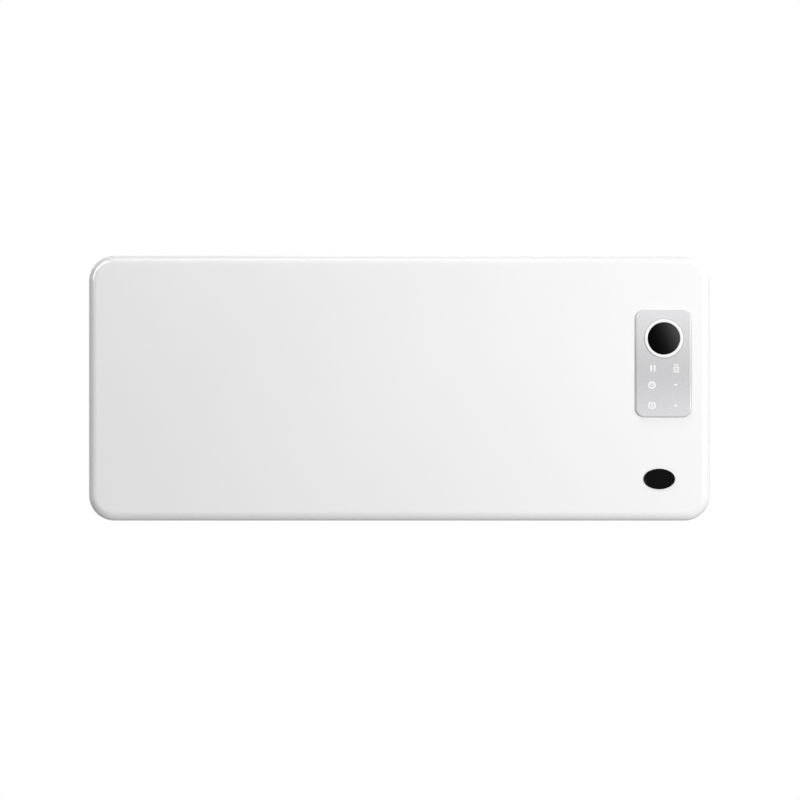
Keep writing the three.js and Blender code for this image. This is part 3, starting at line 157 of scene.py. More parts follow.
def quarter_turns(steps):
    """Equal steps through a quarter turn, without its start."""
    return [step / steps * math.pi / 2 for step in range(1, steps + 1)]


def add_to(whole, part):
    """Puts what one bmesh holds into another."""
    mesh = bpy.data.meshes.new("part")
    part.to_mesh(mesh)
    part.free()
    whole.from_mesh(mesh)
    bpy.data.meshes.remove(mesh)


def shade(mesh, angle):
    mesh.shade_smooth()
    mesh.set_sharp_from_angle(angle=math.radians(angle))


def new_piece(name, bm, angle=35, outward=True):
    """An object at the origin, with its place in its mesh."""
    if outward:
        bmesh.ops.recalc_face_normals(bm, faces=bm.faces)
    mesh = bpy.data.meshes.new(name)
    bm.to_mesh(mesh)
    bm.free()
    shade(mesh, angle)
    piece = bpy.data.objects.new(name, mesh)
    scene.collection.objects.link(piece)
    return piece


def settle(piece, angle=35):
    """Puts what the modifiers made into the mesh."""
    graph = bpy.context.evaluated_depsgraph_get()
    made = bpy.data.meshes.new_from_object(piece.evaluated_get(graph))
    piece.modifiers.clear()
    piece.data = made
    shade(made, angle)


def combine(piece, tools, operation, angle):
    """Joins each tool with a piece, or takes it out."""
    for bm in tools:
        tool = new_piece("tool", bm)
        step = piece.modifiers.new("tool", "BOOLEAN")
        step.object = tool
        step.operation = operation
        step.solver = "EXACT"
        settle(piece, angle)
        bpy.data.objects.remove(tool)


def cut_away(piece, cutters, angle=35):
    combine(piece, cutters, "DIFFERENCE", angle)


def join_on(piece, additions, angle=35):
    combine(piece, additions, "UNION", angle)


def fold_sheet(piece):
    """Gives a thin skin the sheet's thickness, inwards."""
    wall = piece.modifiers.new("sheet", "SOLIDIFY")
    wall.thickness = SHEET
    wall.offset = -1
    wall.use_even_offset = True
    settle(piece)


def even_flats(piece):
    flats = piece.modifiers.new("flats", "WEIGHTED_NORMAL")
    flats.keep_sharp = True


def soften(piece, width, segments=2):
    """Breaks the sharp edges and keeps the flats flat in the shading."""
    edge = piece.modifiers.new("edges", "BEVEL")
    edge.width = width
    edge.segments = segments
    edge.limit_method = "ANGLE"
    edge.angle_limit = math.radians(40)
    edge.use_clamp_overlap = True
    even_flats(piece)


def pressed_copy(node, name, width):
    """A copy of a CAD node with its edges broken."""
    bm = bmesh.new()
    bm.from_mesh(frame["nodes"][node].data)
    bmesh.ops.remove_doubles(bm, verts=bm.verts, dist=2e-6)
    bmesh.ops.dissolve_limit(bm, angle_limit=math.radians(1), verts=bm.verts, edges=bm.edges)
    piece = new_piece(name, bm, outward=False)
    soften(piece, width)
    return piece


def hand_over(piece, body, slot, *nodes, look=None):
    """Says which body carries a piece, which finish it has and which CAD nodes it stands for."""
    piece.data.materials.clear()
    piece.data.materials.append(look or FINISHES[slot])
    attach(piece, body)
    if nodes:
        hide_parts(*nodes)
    return piece


# ---- Finishes ----


def shader_of(name):
    made = bpy.data.materials.new(name)
    made.use_nodes = True
    return made, made.node_tree, made.node_tree.nodes["Principled BSDF"]


def object_pattern(tree, kind, scale, stretch=(1, 1, 1), **settings):
    """A texture on Object coordinates; stretch sets how closely it repeats along each axis."""
    place = tree.nodes.new("ShaderNodeTexCoord")
    mapping = tree.nodes.new("ShaderNodeMapping")
    mapping.inputs["Scale"].default_value = stretch
    pattern = tree.nodes.new(kind)
    pattern.inputs["Scale"].default_value = scale
    for name, value in settings.items():
        pattern.inputs[name].default_value = value
    tree.links.new(place.outputs["Object"], mapping.inputs["Vector"])
    tree.links.new(mapping.outputs["Vector"], pattern.inputs["Vector"])
    return pattern


def span(tree, source, low, high, start=0.3, end=0.7):
    """Stretches start to end of a pattern's output over low to high."""
    node = tree.nodes.new("ShaderNodeMapRange")
    node.inputs["From Min"].default_value = start
    node.inputs["From Max"].default_value = end
    node.inputs["To Min"].default_value = low
    node.inputs["To Max"].default_value = high
    tree.links.new(source, node.inputs["Value"])
    return node.outputs["Result"]


def blend_colours(tree, share, low, high):
    mix = tree.nodes.new("ShaderNodeMix")
    mix.data_type = "RGBA"
    mix.inputs["A"].default_value = (*low, 1)
    mix.inputs["B"].default_value = (*high, 1)
    tree.links.new(share, mix.inputs["Factor"])
    return mix.outputs["Result"]


def linear(colour):
    return tuple(c / 12.92 if c <= 0.04045 else ((c + 0.055) / 1.055) ** 2.4 for c in colour)


def finish(
    name,
    colour,
    roughness,
    metallic=0.0,
    shift=0.03,
    mottle=9,
    grain=900,
    bump=0.05,
    depth=0.0002,
    stretch=(1, 1, 1),
    shine=0.5,
    coat=0.0,
    coat_roughness=0.1,
):
    """A finish: colour and roughness wander slowly, and the grain raises a fine relief."""
    made, tree, shader = shader_of(name)
    wander = object_pattern(tree, "ShaderNodeTexNoise", mottle, stretch, Detail=3.0)
    dark = linear([max(0.0, c - shift) for c in colour])
    light = linear([min(1.0, c + shift / 2) for c in colour])
    share = span(tree, wander.outputs["Fac"], 0, 1)
    tree.links.new(blend_colours(tree, share, dark, light), shader.inputs["Base Color"])
    fine = object_pattern(tree, "ShaderNodeTexNoise", grain, stretch, Detail=2.0)
    rough = span(tree, fine.outputs["Fac"], roughness[0], roughness[1])
    tree.links.new(rough, shader.inputs["Roughness"])
    relief = tree.nodes.new("ShaderNodeBump")
    relief.inputs["Strength"].default_value = bump
    relief.inputs["Distance"].default_value = depth
    tree.links.new(fine.outputs["Fac"], relief.inputs["Height"])
    tree.links.new(relief.outputs["Normal"], shader.inputs["Normal"])
    shader.inputs["Metallic"].default_value = metallic
    shader.inputs["Specular IOR Level"].default_value = shine
    shader.inputs["Coat Weight"].default_value = coat
    shader.inputs["Coat Roughness"].default_value = coat_roughness
    return made


def tone_ramp(tree, share, stops, blending="LINEAR"):
    """Colours along a share from 0 to 1: stops are (place, colour)."""
    ramp = tree.nodes.new("ShaderNodeValToRGB")
    ramp.color_ramp.interpolation = blending
    while len(ramp.color_ramp.elements) < len(stops):
        ramp.color_ramp.elements.new(0.5)
    for element, (place, colour) in zip(ramp.color_ramp.elements, stops):
        element.position = place
    for element, (place, colour) in zip(ramp.color_ramp.elements, stops):
        element.color = (*linear(colour), 1)
    tree.links.new(share, ramp.inputs["Fac"])
    return ramp.outputs["Color"]


def plate_finish_with_painted_sheen(name, colour, stops):
    """Silver paint with a painted sheen that makes it paler towards both ends: stops are (height on
    the object, paleness of the painted sheen).
    """
    made = finish(name, colour, (0.24, 0.3), 0.1, 0.0, 12, 1500, 0.03, shine=0.4)
    tree = made.node_tree
    shader = tree.nodes["Principled BSDF"]
    place = tree.nodes.new("ShaderNodeTexCoord")
    split = tree.nodes.new("ShaderNodeSeparateXYZ")
    tree.links.new(place.outputs["Object"], split.inputs["Vector"])
    bottom, top = stops[0][0], stops[-1][0]
    share = span(tree, split.outputs["Z"], 0, 1, bottom, top)
    tones = [
        ((level - bottom) / (top - bottom), [c + painted_sheen for c in colour])
        for level, painted_sheen in stops
    ]
    tree.links.new(tone_ramp(tree, share, tones, "B_SPLINE"), shader.inputs["Base Color"])
    return made


def window_finish_with_painted_reflection(name, painted_reflection_greys, reach, centre, lean):
    """Smoked black glass with a painted reflection that pales its colour towards one side, at an
    angle lean above +X.
    """
    made = finish(name, (0.02, 0.02, 0.021), (0.12, 0.18), 0, 0.0, 20, 300, 0.01, shine=0.03)
    tree = made.node_tree
    shader = tree.nodes["Principled BSDF"]
    place = tree.nodes.new("ShaderNodeTexCoord")
    along = tree.nodes.new("ShaderNodeVectorMath")
    along.operation = "DOT_PRODUCT"
    along.inputs[1].default_value = (math.cos(lean), 0, math.sin(lean))
    tree.links.new(place.outputs["Object"], along.inputs[0])
    level = centre.x * math.cos(lean) + centre.z * math.sin(lean)
    share = span(tree, along.outputs["Value"], 0, 1, level - reach, level + reach)
    tones = [(n / (len(painted_reflection_greys) - 1), [grey / 255] * 3) for n, grey in enumerate(painted_reflection_greys)]
    tree.links.new(tone_ramp(tree, share, tones), shader.inputs["Base Color"])
    return made


def zinc_finish(name, colour):
    """Zinc plate: faint crystal patches of unlike tone under a drawn grain."""
    made = finish(name, colour, (0.34, 0.46), 1.0, 0.05, 30, 500, 0.03)
    tree = made.node_tree
    shader = tree.nodes["Principled BSDF"]
    crystals = object_pattern(tree, "ShaderNodeTexVoronoi", 90)
    tone = span(tree, crystals.outputs["Color"], 0, 1, 0.1, 0.9)
    dark = linear([c - 0.09 for c in colour])
    tree.links.new(blend_colours(tree, tone, dark, linear(colour)), shader.inputs["Base Color"])
    return made


def board_finish(name, colour):
    """Solder mask with lighter copper tracks under it."""
    made = finish(name, colour, (0.3, 0.45), 0, 0.01, 40, 900, 0.05)
    tree = made.node_tree
    shader = tree.nodes["Principled BSDF"]
    tracks = object_pattern(tree, "ShaderNodeTexBrick", 60, (1, 1, 1))
    tracks.inputs["Mortar Size"].default_value = 0.06
    tracks.inputs["Color1"].default_value = (*linear(colour), 1)
    tracks.inputs["Color2"].default_value = (*linear([c * 0.92 for c in colour]), 1)
    tracks.inputs["Mortar"].default_value = (*linear([c + 0.09 for c in colour]), 1)
    tree.links.new(tracks.outputs["Color"], shader.inputs["Base Color"])
    return made


def sleeve_finish(name, colour):
    """Braided glass fibre: a wave pattern in the relief."""
    made = finish(name, colour, (0.7, 0.9), 0, 0.05, 60, 900, 0.1)
    tree = made.node_tree
    shader = tree.nodes["Principled BSDF"]
    weave = object_pattern(tree, "ShaderNodeTexWave", 260, (1, 0.6, 1))
    relief = tree.nodes.new("ShaderNodeBump")
    relief.inputs["Strength"].default_value = 0.35
    relief.inputs["Distance"].default_value = 0.0003
    tree.links.new(weave.outputs["Fac"], relief.inputs["Height"])
    tree.links.new(relief.outputs["Normal"], shader.inputs["Normal"])
    return made


FINISHES = {
    "white_enamel": finish(
        "white_enamel", (0.948, 0.95, 0.948), (0.11, 0.15), 0, 0.005, 5, 620, 0.01, shine=0.4
    ),
    "grille_enamel": finish(
        "grille_enamel", (0.86, 0.865, 0.86), (0.36, 0.46), 0, 0.01, 7, 620, 0.08
    ),
    "zinc_steel": zinc_finish("zinc_steel", (0.72, 0.73, 0.738)),
    "screw_steel": finish(
        "screw_steel", (0.66, 0.67, 0.68), (0.2, 0.34), 1.0, 0.05, 60, 800, 0.05
    ),
    "aluminium": finish(
        "aluminium",
        (0.8, 0.805, 0.81),
        (0.25, 0.42),
        1.0,
        0.03,
        12,
        500,
        0.12,
        stretch=(0.04, 1, 1),
    ),
    "black_steel": finish("black_steel", (0.3, 0.3, 0.31), (0.35, 0.5), 0.8, 0.04, 30, 600, 0.1),
    "ceramic": finish("ceramic", (0.91, 0.89, 0.84), (0.4, 0.6), 0, 0.03, 25, 700, 0.12),
    "white_plastic": finish(
        "white_plastic", (0.9, 0.9, 0.885), (0.35, 0.45), 0, 0.01, 10, 900, 0.08
    ),
    "grey_plastic": finish(
        "grey_plastic", (0.52, 0.53, 0.54), (0.4, 0.52), 0, 0.02, 12, 900, 0.1
    ),
    "black_plastic": finish(
        "black_plastic", (0.085, 0.087, 0.09), (0.35, 0.48), 0, 0.012, 15, 1100, 0.14
    ),
    # The silver plate's paleness towards the top and bottom is a painted reflection.
    "silver_plate": plate_finish_with_painted_sheen(
        "silver_plate",
        (0.763, 0.763, 0.769),
        [(-0.045, 0.07), (-0.02, 0.045), (0.01, 0.005), (0.04, 0.0), (0.085, 0.07), (0.11, 0.09)],
    ),
    "gloss_white": finish("gloss_white", (0.97, 0.97, 0.968), (0.06, 0.1), 0, 0.004, 20, 300, 0.01),
    # The window's paling towards the upper right is a painted reflection of the key light.
    "black_window": window_finish_with_painted_reflection(
        "black_window",
        [0, 2, 9, 22, 40, 58, 73],
        0.0225,
        middle(*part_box("display_window")),
        math.radians(24),
    ),
    "circuit_board": board_finish("circuit_board", (0.08, 0.32, 0.19)),
    "brass": finish("brass", (0.72, 0.58, 0.3), (0.22, 0.35), 1.0, 0.05, 40, 700, 0.06),
    "red_lead": finish("red_lead", (0.6, 0.13, 0.11), (0.35, 0.5), 0, 0.02, 60, 900, 0.05),
    "blue_lead": finish("blue_lead", (0.16, 0.3, 0.62), (0.35, 0.5), 0, 0.02, 60, 900, 0.05),
    "earth_lead": finish("earth_lead", (0.42, 0.57, 0.16), (0.35, 0.5), 0, 0.02, 60, 900, 0.05),
    "sleeve": sleeve_finish("sleeve", (0.86, 0.85, 0.81)),
}

BADGE_GLOSS = finish(
    "badge_gloss", (0.03, 0.03, 0.031), (0.1, 0.16), 0, 0.008, 60, 300, 0.01, shine=0.06
)

for row in frame["record"]["subparts"]:
    node = frame["nodes"][row["node"]]
    node.data.materials.clear()
    node.data.materials.append(FINISHES[row["material_slot"]])

# ---- Front shell ----

panel_low, panel_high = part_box("front_panel")
pod_low, pod_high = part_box("control_plate")
pod_middle = middle(pod_low, pod_high)
ring_low, ring_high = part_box("display_ring")
module_low, module_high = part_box("display_module")


SCREWS = range(1, 5)
SCREW_HOLE = 0.0021


def screw_holes():
    levels = (panel_high.y - 0.004, panel_high.y + 0.004)
    places = [middle(*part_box(f"flange_screw_{n}")) for n in SCREWS]
    return [plug(1, (place.x, 0, place.z), SCREW_HOLE, levels, 20) for place in places]


def front_shell():
    """The pressed front: rolled edge, return flange, and openings behind the control pod."""
    bm = rounded_block(panel_low, panel_high, CASE_CORNER, 24)
    round_off(bm, rim_of(bm, 1, panel_low.y), FRONT_ROLL, 14)
    round_off(bm, rim_of(bm, 1, panel_high.y), FLANGE_EDGE, 3)
    back = [
        f
        for f in bm.faces
        if f.normal.y > 0.99 and abs(f.calc_center_median().y - panel_high.y) < 1e-5
    ]
    bmesh.ops.inset_region(
        bm, faces=back, thickness=RETURN_FLANGE - FLANGE_EDGE, use_even_offset=True
    )
    bmesh.ops.delete(bm, geom=back, context="FACES_ONLY")
    shell = new_piece("front_shell", bm, outward=False)
    fold_sheet(shell)
    through = (panel_low.y - 0.003, panel_low.y + 0.003)
    display_hole = (module_high.x - module_low.x) / 2 + 0.0018
    centre = middle(ring_low, ring_high)
    keys_half_width = 0.03
    keys_low = (pod_middle.x - keys_half_width, through[0], pod_low.z + 0.009)
    keys_high = (pod_middle.x + keys_half_width, through[1], centre.z - display_hole - 0.006)
    openings = [plug(1, centre, display_hole, through, 48), new_block(keys_low, keys_high)]
    cut_away(shell, [*openings, *screw_holes()])
    even_flats(shell)
    return hand_over(shell, "heater", "white_enamel", "front_panel")


front_shell()

# ---- Rear case ----

tray_low, tray_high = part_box("rear_tray")
SIDES = ("left", "right")
TRAY_CUT = 0.002
BACK_CUT = (-0.021, -0.016)
HOOK_WINDOW = (-0.163, -0.1447)
CATCH_WINDOW = (0.0965, 0.122)
WINDOW_MARGIN = 0.003
GRILLE_LIP = 0.0022


def rear_case():
    """The tray behind the front panel: a rim, a step and a shallow box."""
    level = tray_low.y + SHEET
    bm = rounded_block(
        (tray_low.x, level, tray_low.z),
        (tray_high.x, tray_high.y, tray_high.z),
        CASE_CORNER - RIM_INSET,
        20,
    )
    face = [
        f
        for f in bm.faces
        if abs(f.normal.y) > 0.99 and abs(f.calc_center_median().y - level) < SAME_PLANE
    ]
    others = [f for f in bm.faces if f not in face]
    bmesh.ops.delete(bm, geom=others, context="FACES")
    face[0].normal_update()
    if face[0].normal.y < 0:
        bmesh.ops.reverse_faces(bm, faces=face)
    bmesh.ops.inset_region(
        bm, faces=face, thickness=TRAY_STEP, use_even_offset=True, use_boundary=True
    )
    sunk = bmesh.ops.extrude_face_region(bm, geom=face)
    bmesh.ops.delete(bm, geom=face, context="FACES_ONLY")
    moved = [v for v in sunk["geom"] if isinstance(v, bmesh.types.BMVert)]
    bmesh.ops.translate(bm, verts=moved, vec=(0, tray_high.y - level, 0))
    round_off(bm, rim_of(bm, 1, tray_high.y), REAR_ROLL, 8)
    case = new_piece("rear_case", bm)
    facing = max(case.data.polygons, key=lambda f: f.area)
    if facing.normal.y < 0:
        case.data.flip_normals()
    fold_sheet(case)
    return case


def tray_windows():
    """Windows for the hooks, the catches, the two grilles, the switch, the gland and the probe."""
    tools = []
    for side in SIDES:
        low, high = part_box("bracket_upright_" + side)
        across = (low.x - WINDOW_MARGIN, high.x + WINDOW_MARGIN)
        for base, top in (HOOK_WINDOW, CATCH_WINDOW):
            near, far = BACK_CUT
            tools.append(
                rounded_block((across[0], near, base), (across[1], far, top), 0.0015, 4)
            )
    for name in ("outlet_grille", "inlet_grille"):
        low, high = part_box(name)
        wall = math.copysign(TRAY_HALF_HEIGHT, low.z)
        tools.append(
            rounded_block(
                (low.x + GRILLE_LIP, low.y + GRILLE_LIP, wall - TRAY_CUT),
                (high.x - GRILLE_LIP, high.y - GRILLE_LIP, wall + TRAY_CUT),
                0.0012,
                4,
                2,
            )
        )
    low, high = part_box("switch_body")
    lip = 0.0013
    tools.append(
        rounded_block(
            (TRAY_HALF_WIDTH - TRAY_CUT, low.y + lip, low.z + lip),
            (TRAY_HALF_WIDTH + TRAY_CUT, high.y - lip, high.z - lip),
            0.001,
            3,
            0,
        )
    )
    for name, lip in (("cable_gland", 0.0032), ("sensor_holder", 0.0017)):
        low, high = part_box(name)
        radius = (high.x - low.x) / 2 - lip
        levels = (-TRAY_HALF_HEIGHT - TRAY_CUT, -TRAY_HALF_HEIGHT + TRAY_CUT)
        tools.append(plug(2, middle(low, high), radius, levels, 40))
    return tools


BEAD_WIDTH = 0.014
BEAD_HEIGHT = 0.0014
BEAD_SEAT = 0.0006
BEAD_ROLL = 0.005
SIDE_BEADS = [(side * 0.326, level, 0.124) for side in (-1, 1) for level in (-0.1, 0.0, 0.1)]
MIDDLE_BEADS = [(0.0, level, 0.3) for level in (-0.1, 0.1)]


def press_beads(case):
    """Stiffening beads in the tray's back, beside and between the bracket's uprights."""
    beads = bmesh.new()
    for x, z, length in (*SIDE_BEADS, *MIDDLE_BEADS):
        crown = BEAD_ROLL + 0.0002
        bead = rounded_block(
            (x - length / 2, 0, z - BEAD_WIDTH / 2),
            (x + length / 2, crown, z + BEAD_WIDTH / 2),
            BEAD_WIDTH * 0.49,
            8,
        )
        round_off(bead, rim_of(bead, 1, crown), BEAD_ROLL, 8)
        flatten = Matrix.Diagonal((1, (BEAD_HEIGHT + BEAD_SEAT) / crown, 1, 1))
        bead.transform(Matrix.Translation((0, tray_high.y - BEAD_SEAT, 0)) @ flatten)
        add_to(beads, bead)
    join_on(case, [beads], 25)


case = rear_case()
press_beads(case)
cut_away(case, [*tray_windows(), *screw_holes()])
even_flats(case)
hand_over(case, "heater", "white_enamel", "rear_tray")

# ---- Grilles ----


STRIP_THICKNESS = 0.0016
COLLAR_DEPTH = 0.0051
COLLAR_WALL = 0.0012
SLOT_COLUMNS = 22
SLOT_PITCH = 0.03
SLOT_LENGTH = 0.026
SLOT_WIDTH = 0.0064
SLOT_BAR = 0.0026


def grille_slots(centre_x, centre_y, level):
    """Two rows of round-ended slots."""
    slots = bmesh.new()
    for column in range(SLOT_COLUMNS):
        for row in (-1, 1):
            x = centre_x + (column - (SLOT_COLUMNS - 1) / 2) * SLOT_PITCH
            y = centre_y + row * (SLOT_WIDTH + SLOT_BAR) / 2
            size = Matrix.Diagonal((SLOT_LENGTH, SLOT_WIDTH, 0.006, 1))
            place = Matrix.Translation((x, y, level)) @ size
            bmesh.ops.create_cube(slots, size=1, matrix=place)
    round_off(slots, [e for e in slots.edges if runs_along(e, 2)], 0.003, 4)
    return slots


def grille(node, up):
    """A slotted strip with a collar that reaches through the tray's wall; up is 1 or -1."""
    low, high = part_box(node)
    face = high.z if up > 0 else low.z
    inner = face - up * STRIP_THICKNESS
    bm = rounded_block(
        (low.x, low.y, min(face, inner)), (high.x, high.y, max(face, inner)), 0.002, 4, 2
    )
    strip = new_piece(node + "_strip", bm)
    edge = GRILLE_LIP + FIT
    deep = face - up * COLLAR_DEPTH
    collar = new_block(
        (low.x + edge, low.y + edge, min(inner, deep)),
        (high.x - edge, high.y - edge, max(inner, deep) + 0.0002),
    )
    join_on(strip, [collar])
    edge += COLLAR_WALL
    past = face - up * 0.007
    bore = new_block(
        (low.x + edge, low.y + edge, min(inner, past)),
        (high.x - edge, high.y - edge, max(inner, past)),
    )
    cut_away(strip, [bore])
    centre = middle(low, high)
    cut_away(strip, [grille_slots(centre.x, centre.y, (face + inner) / 2)], 30)
    soften(strip, 0.00035)
    return hand_over(strip, "heater", "grille_enamel", node)


grille("outlet_grille", 1)
grille("inlet_grille", -1)

# ---- Control pod ----


def pod_face():
    """The silver plate; its rolled edge is steepened by stretching a shallower one."""
    shallow = pod_high.y - (pod_high.y - pod_low.y) / POD_STEEPNESS
    bm = rounded_block((pod_low.x, shallow, pod_low.z), pod_high, POD_CORNER, 12)
    round_off(bm, rim_of(bm, 1, shallow), POD_ROLL, 8)
    back = Matrix.Translation((0, pod_high.y, 0))
    bm.transform(back @ Matrix.Diagonal((1, POD_STEEPNESS, 1, 1)) @ back.inverted())
    face = new_piece("pod_face", bm)
    radius = (ring_high.x - ring_low.x) / 2 + FIT
    levels = (pod_low.y - 0.001, pod_high.y + 0.001)
    cut_away(face, [plug(1, middle(ring_low, ring_high), radius, levels, 96)])
    even_flats(face)
    return hand_over(face, "heater", "silver_plate", "control_plate")


def pod_ring():
    """The white ring: a steep outer edge, a flat crown and a ledge for the window."""
    outer = (ring_high.x - ring_low.x) / 2
    inner = outer - RING_WALL
    back, front = ring_high.y, ring_low.y
    ledge = back - 0.0012
    profile = [
        (outer, back),
        (outer, front + 0.0017),
        (outer - 0.0006, front + 0.0009),
        (outer - 0.0011, front + 0.00028),
        (outer - 0.0014, front + 0.00008),
        (outer - 0.0018, front),
        (inner + 0.0011, front),
        (inner + 0.0006, front + 0.0002),
        (inner + 0.0002, front + 0.0006),
        (inner, front + 0.0014),
        (inner, ledge),
        (inner - 0.002, ledge),
        (inner - 0.002, back),
        (outer, back),
    ]
    ring = new_piece("pod_ring", turned(profile, 1, middle(ring_low, ring_high), 96), 50)
    return hand_over(ring, "heater", "gloss_white", "display_ring")


def pod_window():
    """The display's black window, slightly crowned."""
    low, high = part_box("display_window")
    radius = (high.x - low.x) / 2
    reach = radius - 0.0004
    profile = [(0, high.y), (radius, high.y), (radius, low.y + 0.0014)]
    for turn in (0, *quarter_turns(12)):
        r = reach * math.cos(turn)
        profile.append((r, low.y + 0.0009 * (r / reach) ** 2))
    window = new_piece("pod_window", turned(profile, 1, middle(low, high), 96), 40)
    return hand_over(window, "heater", "black_window", "display_window")


pod_face()
pod_ring()
pod_window()

# ---- Printed marks: drawn round the origin, facing -Y, then set in place ----

MARK_DEPTH = 0.0001
MARK_LAYER = 0.00002
COLUMN = 0.0166
ROWS = (0.0064, 0.030, 0.0584)


class Mark:
    """Bars and arcs, each a little prouder than the last, so that no two share a plane."""

    def __init__(self):
        self.bm = bmesh.new()
        self.depth = MARK_DEPTH

    def bar(self, x, z, width, height, lean=0.0):
        self.depth += MARK_LAYER
        bar = rounded_block(
            (-width / 2, -self.depth, -height / 2),
            (width / 2, self.depth, height / 2),
            min(width, height) * 0.45,
            4,
        )
        bar.transform(Matrix.Translation((x, 0, z)) @ Matrix.Rotation(lean, 4, "Y"))
        add_to(self.bm, bar)

    def arc(self, x, z, radius, stroke, start=0, angle=360):
        """start and angle run clockwise from the top, in degrees."""
        self.depth += MARK_LAYER
        turn = math.radians(start)
        corners = []
        for reach in (radius - stroke / 2, radius + stroke / 2):
            for depth in (-self.depth, self.depth):
                spot = (x + reach * math.sin(turn), depth, z + reach * math.cos(turn))
                corners.append(self.bm.verts.new(spot))
        section = self.bm.faces.new((corners[0], corners[1], corners[3], corners[2]))
        path = [section]
        if angle == 360:
            path = [*section.verts, *section.edges]
            self.bm.faces.remove(section)
        bmesh.ops.spin(
            self.bm,
            geom=path,
            cent=(x, 0, z),
            axis=(0, 1, 0),
            angle=math.radians(angle),
            steps=max(8, round(angle / 9)),
            use_merge=angle == 360,
        )

    def put(self, name, place, body):
        self.bm.transform(place)
        self.bm.normal_update()
        return hand_over(new_piece(name, self.bm), body, "gloss_white")


def two_bars(mark):
    for side in (-1, 1):
        mark.bar(side * 0.00237, 0, 0.0023, 0.0090)


def clock(mark):
    mark.arc(0, 0, 0.0042, 0.0020)
    mark.bar(0, 0.0012, 0.0011, 0.0034)
    mark.bar(0.0010, -0.0006, 0.0011, 0.0028, math.radians(120))


def power(mark):
    mark.arc(0, 0, 0.0045, 0.0019, 26, 308)
    mark.bar(0, 0.0012, 0.0018, 0.0078)


def lock(mark):
    for side in (-1, 1):
        mark.bar(side * 0.0031, -0.0020, 0.0013, 0.0074)
    for rise in (-0.0052, 0.0012):
        mark.bar(0, rise, 0.0074, 0.0013)
    mark.bar(0, -0.0020, 0.0017, 0.0028)
    mark.arc(-0.0003, 0.0026, 0.0025, 0.0013, -90, 180)


def minus(mark):
    mark.bar(0, 0.0006, 0.0048, 0.0021)


def plus(mark):
    mark.bar(0, -0.0003, 0.0048, 0.0014)
    mark.bar(0, -0.0003, 0.0014, 0.0042)


def touch_mark(name, column, row, draw, shift=0.0):
    mark = Mark()
    draw(mark)
    place = (pod_middle.x + column * COLUMN + shift, pod_low.y, pod_middle.z - ROWS[row])
    mark.put("touch_mark_" + name, Matrix.Translation(place), "heater")


touch_mark("bars", -1, 0, two_bars, 0.0013)
touch_mark("clock", -1, 1, clock)
touch_mark("power", -1, 2, power)
touch_mark("lock", 1, 0, lock, 0.0009)
touch_mark("minus", 1, 1, minus)
touch_mark("plus", 1, 2, plus)

# ---- Badge ----


def badge():
    low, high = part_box("badge_plate")
    centre = middle(low, high)
    bm = turned(
        [
            (0, high.y),
            (0.5, high.y),
            (0.5, low.y + 0.0006),
            (0.494, low.y + 0.0003),
            (0.482, low.y + 0.00012),
            (0.462, low.y + 0.0001),
            (0.452, low.y + 0.0003),
            (0.44, low.y + 0.0003),
            (0.40, low.y + 0.00018),
            (0.28, low.y + 0.00006),
            (0.14, low.y + 0.00001),
            (0, low.y),
        ],
        1,
        (0, 0, 0),
        96,
    )
    size = Matrix.Diagonal((high.x - low.x, 1, high.z - low.z, 1))
    bm.transform(Matrix.Translation((centre.x, 0, centre.z)) @ size)
    plate = new_piece("oval_badge", bm, 40)
    return hand_over(plate, "heater", "black_window", "badge_plate", look=BADGE_GLOSS)


badge()

# ---- Screws, pins and springs ----


def flange_screw(n):
    """A pan head with a cross recess."""
    node = f"flange_screw_{n}"
    low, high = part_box(node)
    centre = middle(low, high)
    head = (high.x - low.x) / 2
    seat = high.y - 0.002
    shank = 0.0018
    profile = [(0, low.y), (shank - 0.0007, low.y), (shank, low.y + 0.001)]
    profile += [(shank, seat), (head, seat)]
    for turn in quarter_turns(6):
        profile.append((head * math.cos(turn * 0.92), seat + 0.0005 + 0.0015 * math.sin(turn)))
    profile.append((0, high.y))
    screw = new_piece(f"screw_{n}", turned(profile, 1, centre, 32), 30)
    recess = []
    for wide, tall in ((0.0036, 0.0008), (0.0008, 0.0036)):
        recess.append(
            new_block(
                (centre.x - wide / 2, high.y - 0.0011, centre.z - tall / 2),
                (centre.x + wide / 2, high.y + 0.001, centre.z + tall / 2),
            )
        )
    cut_away(screw, recess, 30)
    return hand_over(screw, "heater", "screw_steel", node)


for number in SCREWS:
    flange_screw(number)


def catch_spring(side):
    """A coil of wire."""
    node = "catch_spring_" + side
    low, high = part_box(node)
    centre = middle(low, high)
    wire = 0.0005
    radius = (high.x - low.x) / 2 - wire
    turns, steps = 5, 20
    bm = bmesh.new()
    bmesh.ops.create_circle(
        bm,
        cap_ends=True,
        radius=wire,
        segments=10,
        matrix=Matrix.Translation((centre.x + radius, centre.y, low.z + wire))
        @ Matrix.Rotation(math.pi / 2, 4, "X"),
    )
    rise = high.z - low.z - 2 * wire
    bmesh.ops.spin(
        bm,
        geom=bm.faces[:],
        cent=centre,
        axis=(0, 0, 1),
        dvec=(0, 0, rise / (turns * steps)),
        angle=2 * math.pi * turns,
        steps=turns * steps,
    )
    coil = new_piece("spring_" + side, bm, 60)
    hand_over(coil, "wall_bracket", "screw_steel", node)
    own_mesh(coil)


def catch_pin(side):
    """The rivet that a catch slides on."""
    node = "catch_pin_" + side
    low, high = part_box(node)
    centre = middle(low, high)
    head = (high.x - low.x) / 2
    shank = 0.0025
    neck = low.y + 0.0016
    chamfer = 0.0003
    profile = [(0, high.y), (shank - chamfer, high.y), (shank, high.y - chamfer)]
    profile += [(shank, neck), (head, neck)]
    for turn in quarter_turns(6):
        profile.append((head * math.cos(turn), neck - 0.0004 - 0.0012 * math.sin(turn)))
    pin = new_piece("pin_" + side, turned(profile, 1, centre, 32), 40)
    return hand_over(pin, "wall_bracket", "screw_steel", node)


for side in SIDES:
    catch_spring(side)
    catch_pin(side)

# ---- Pressed and moulded pieces that keep their CAD form, with broken edges ----

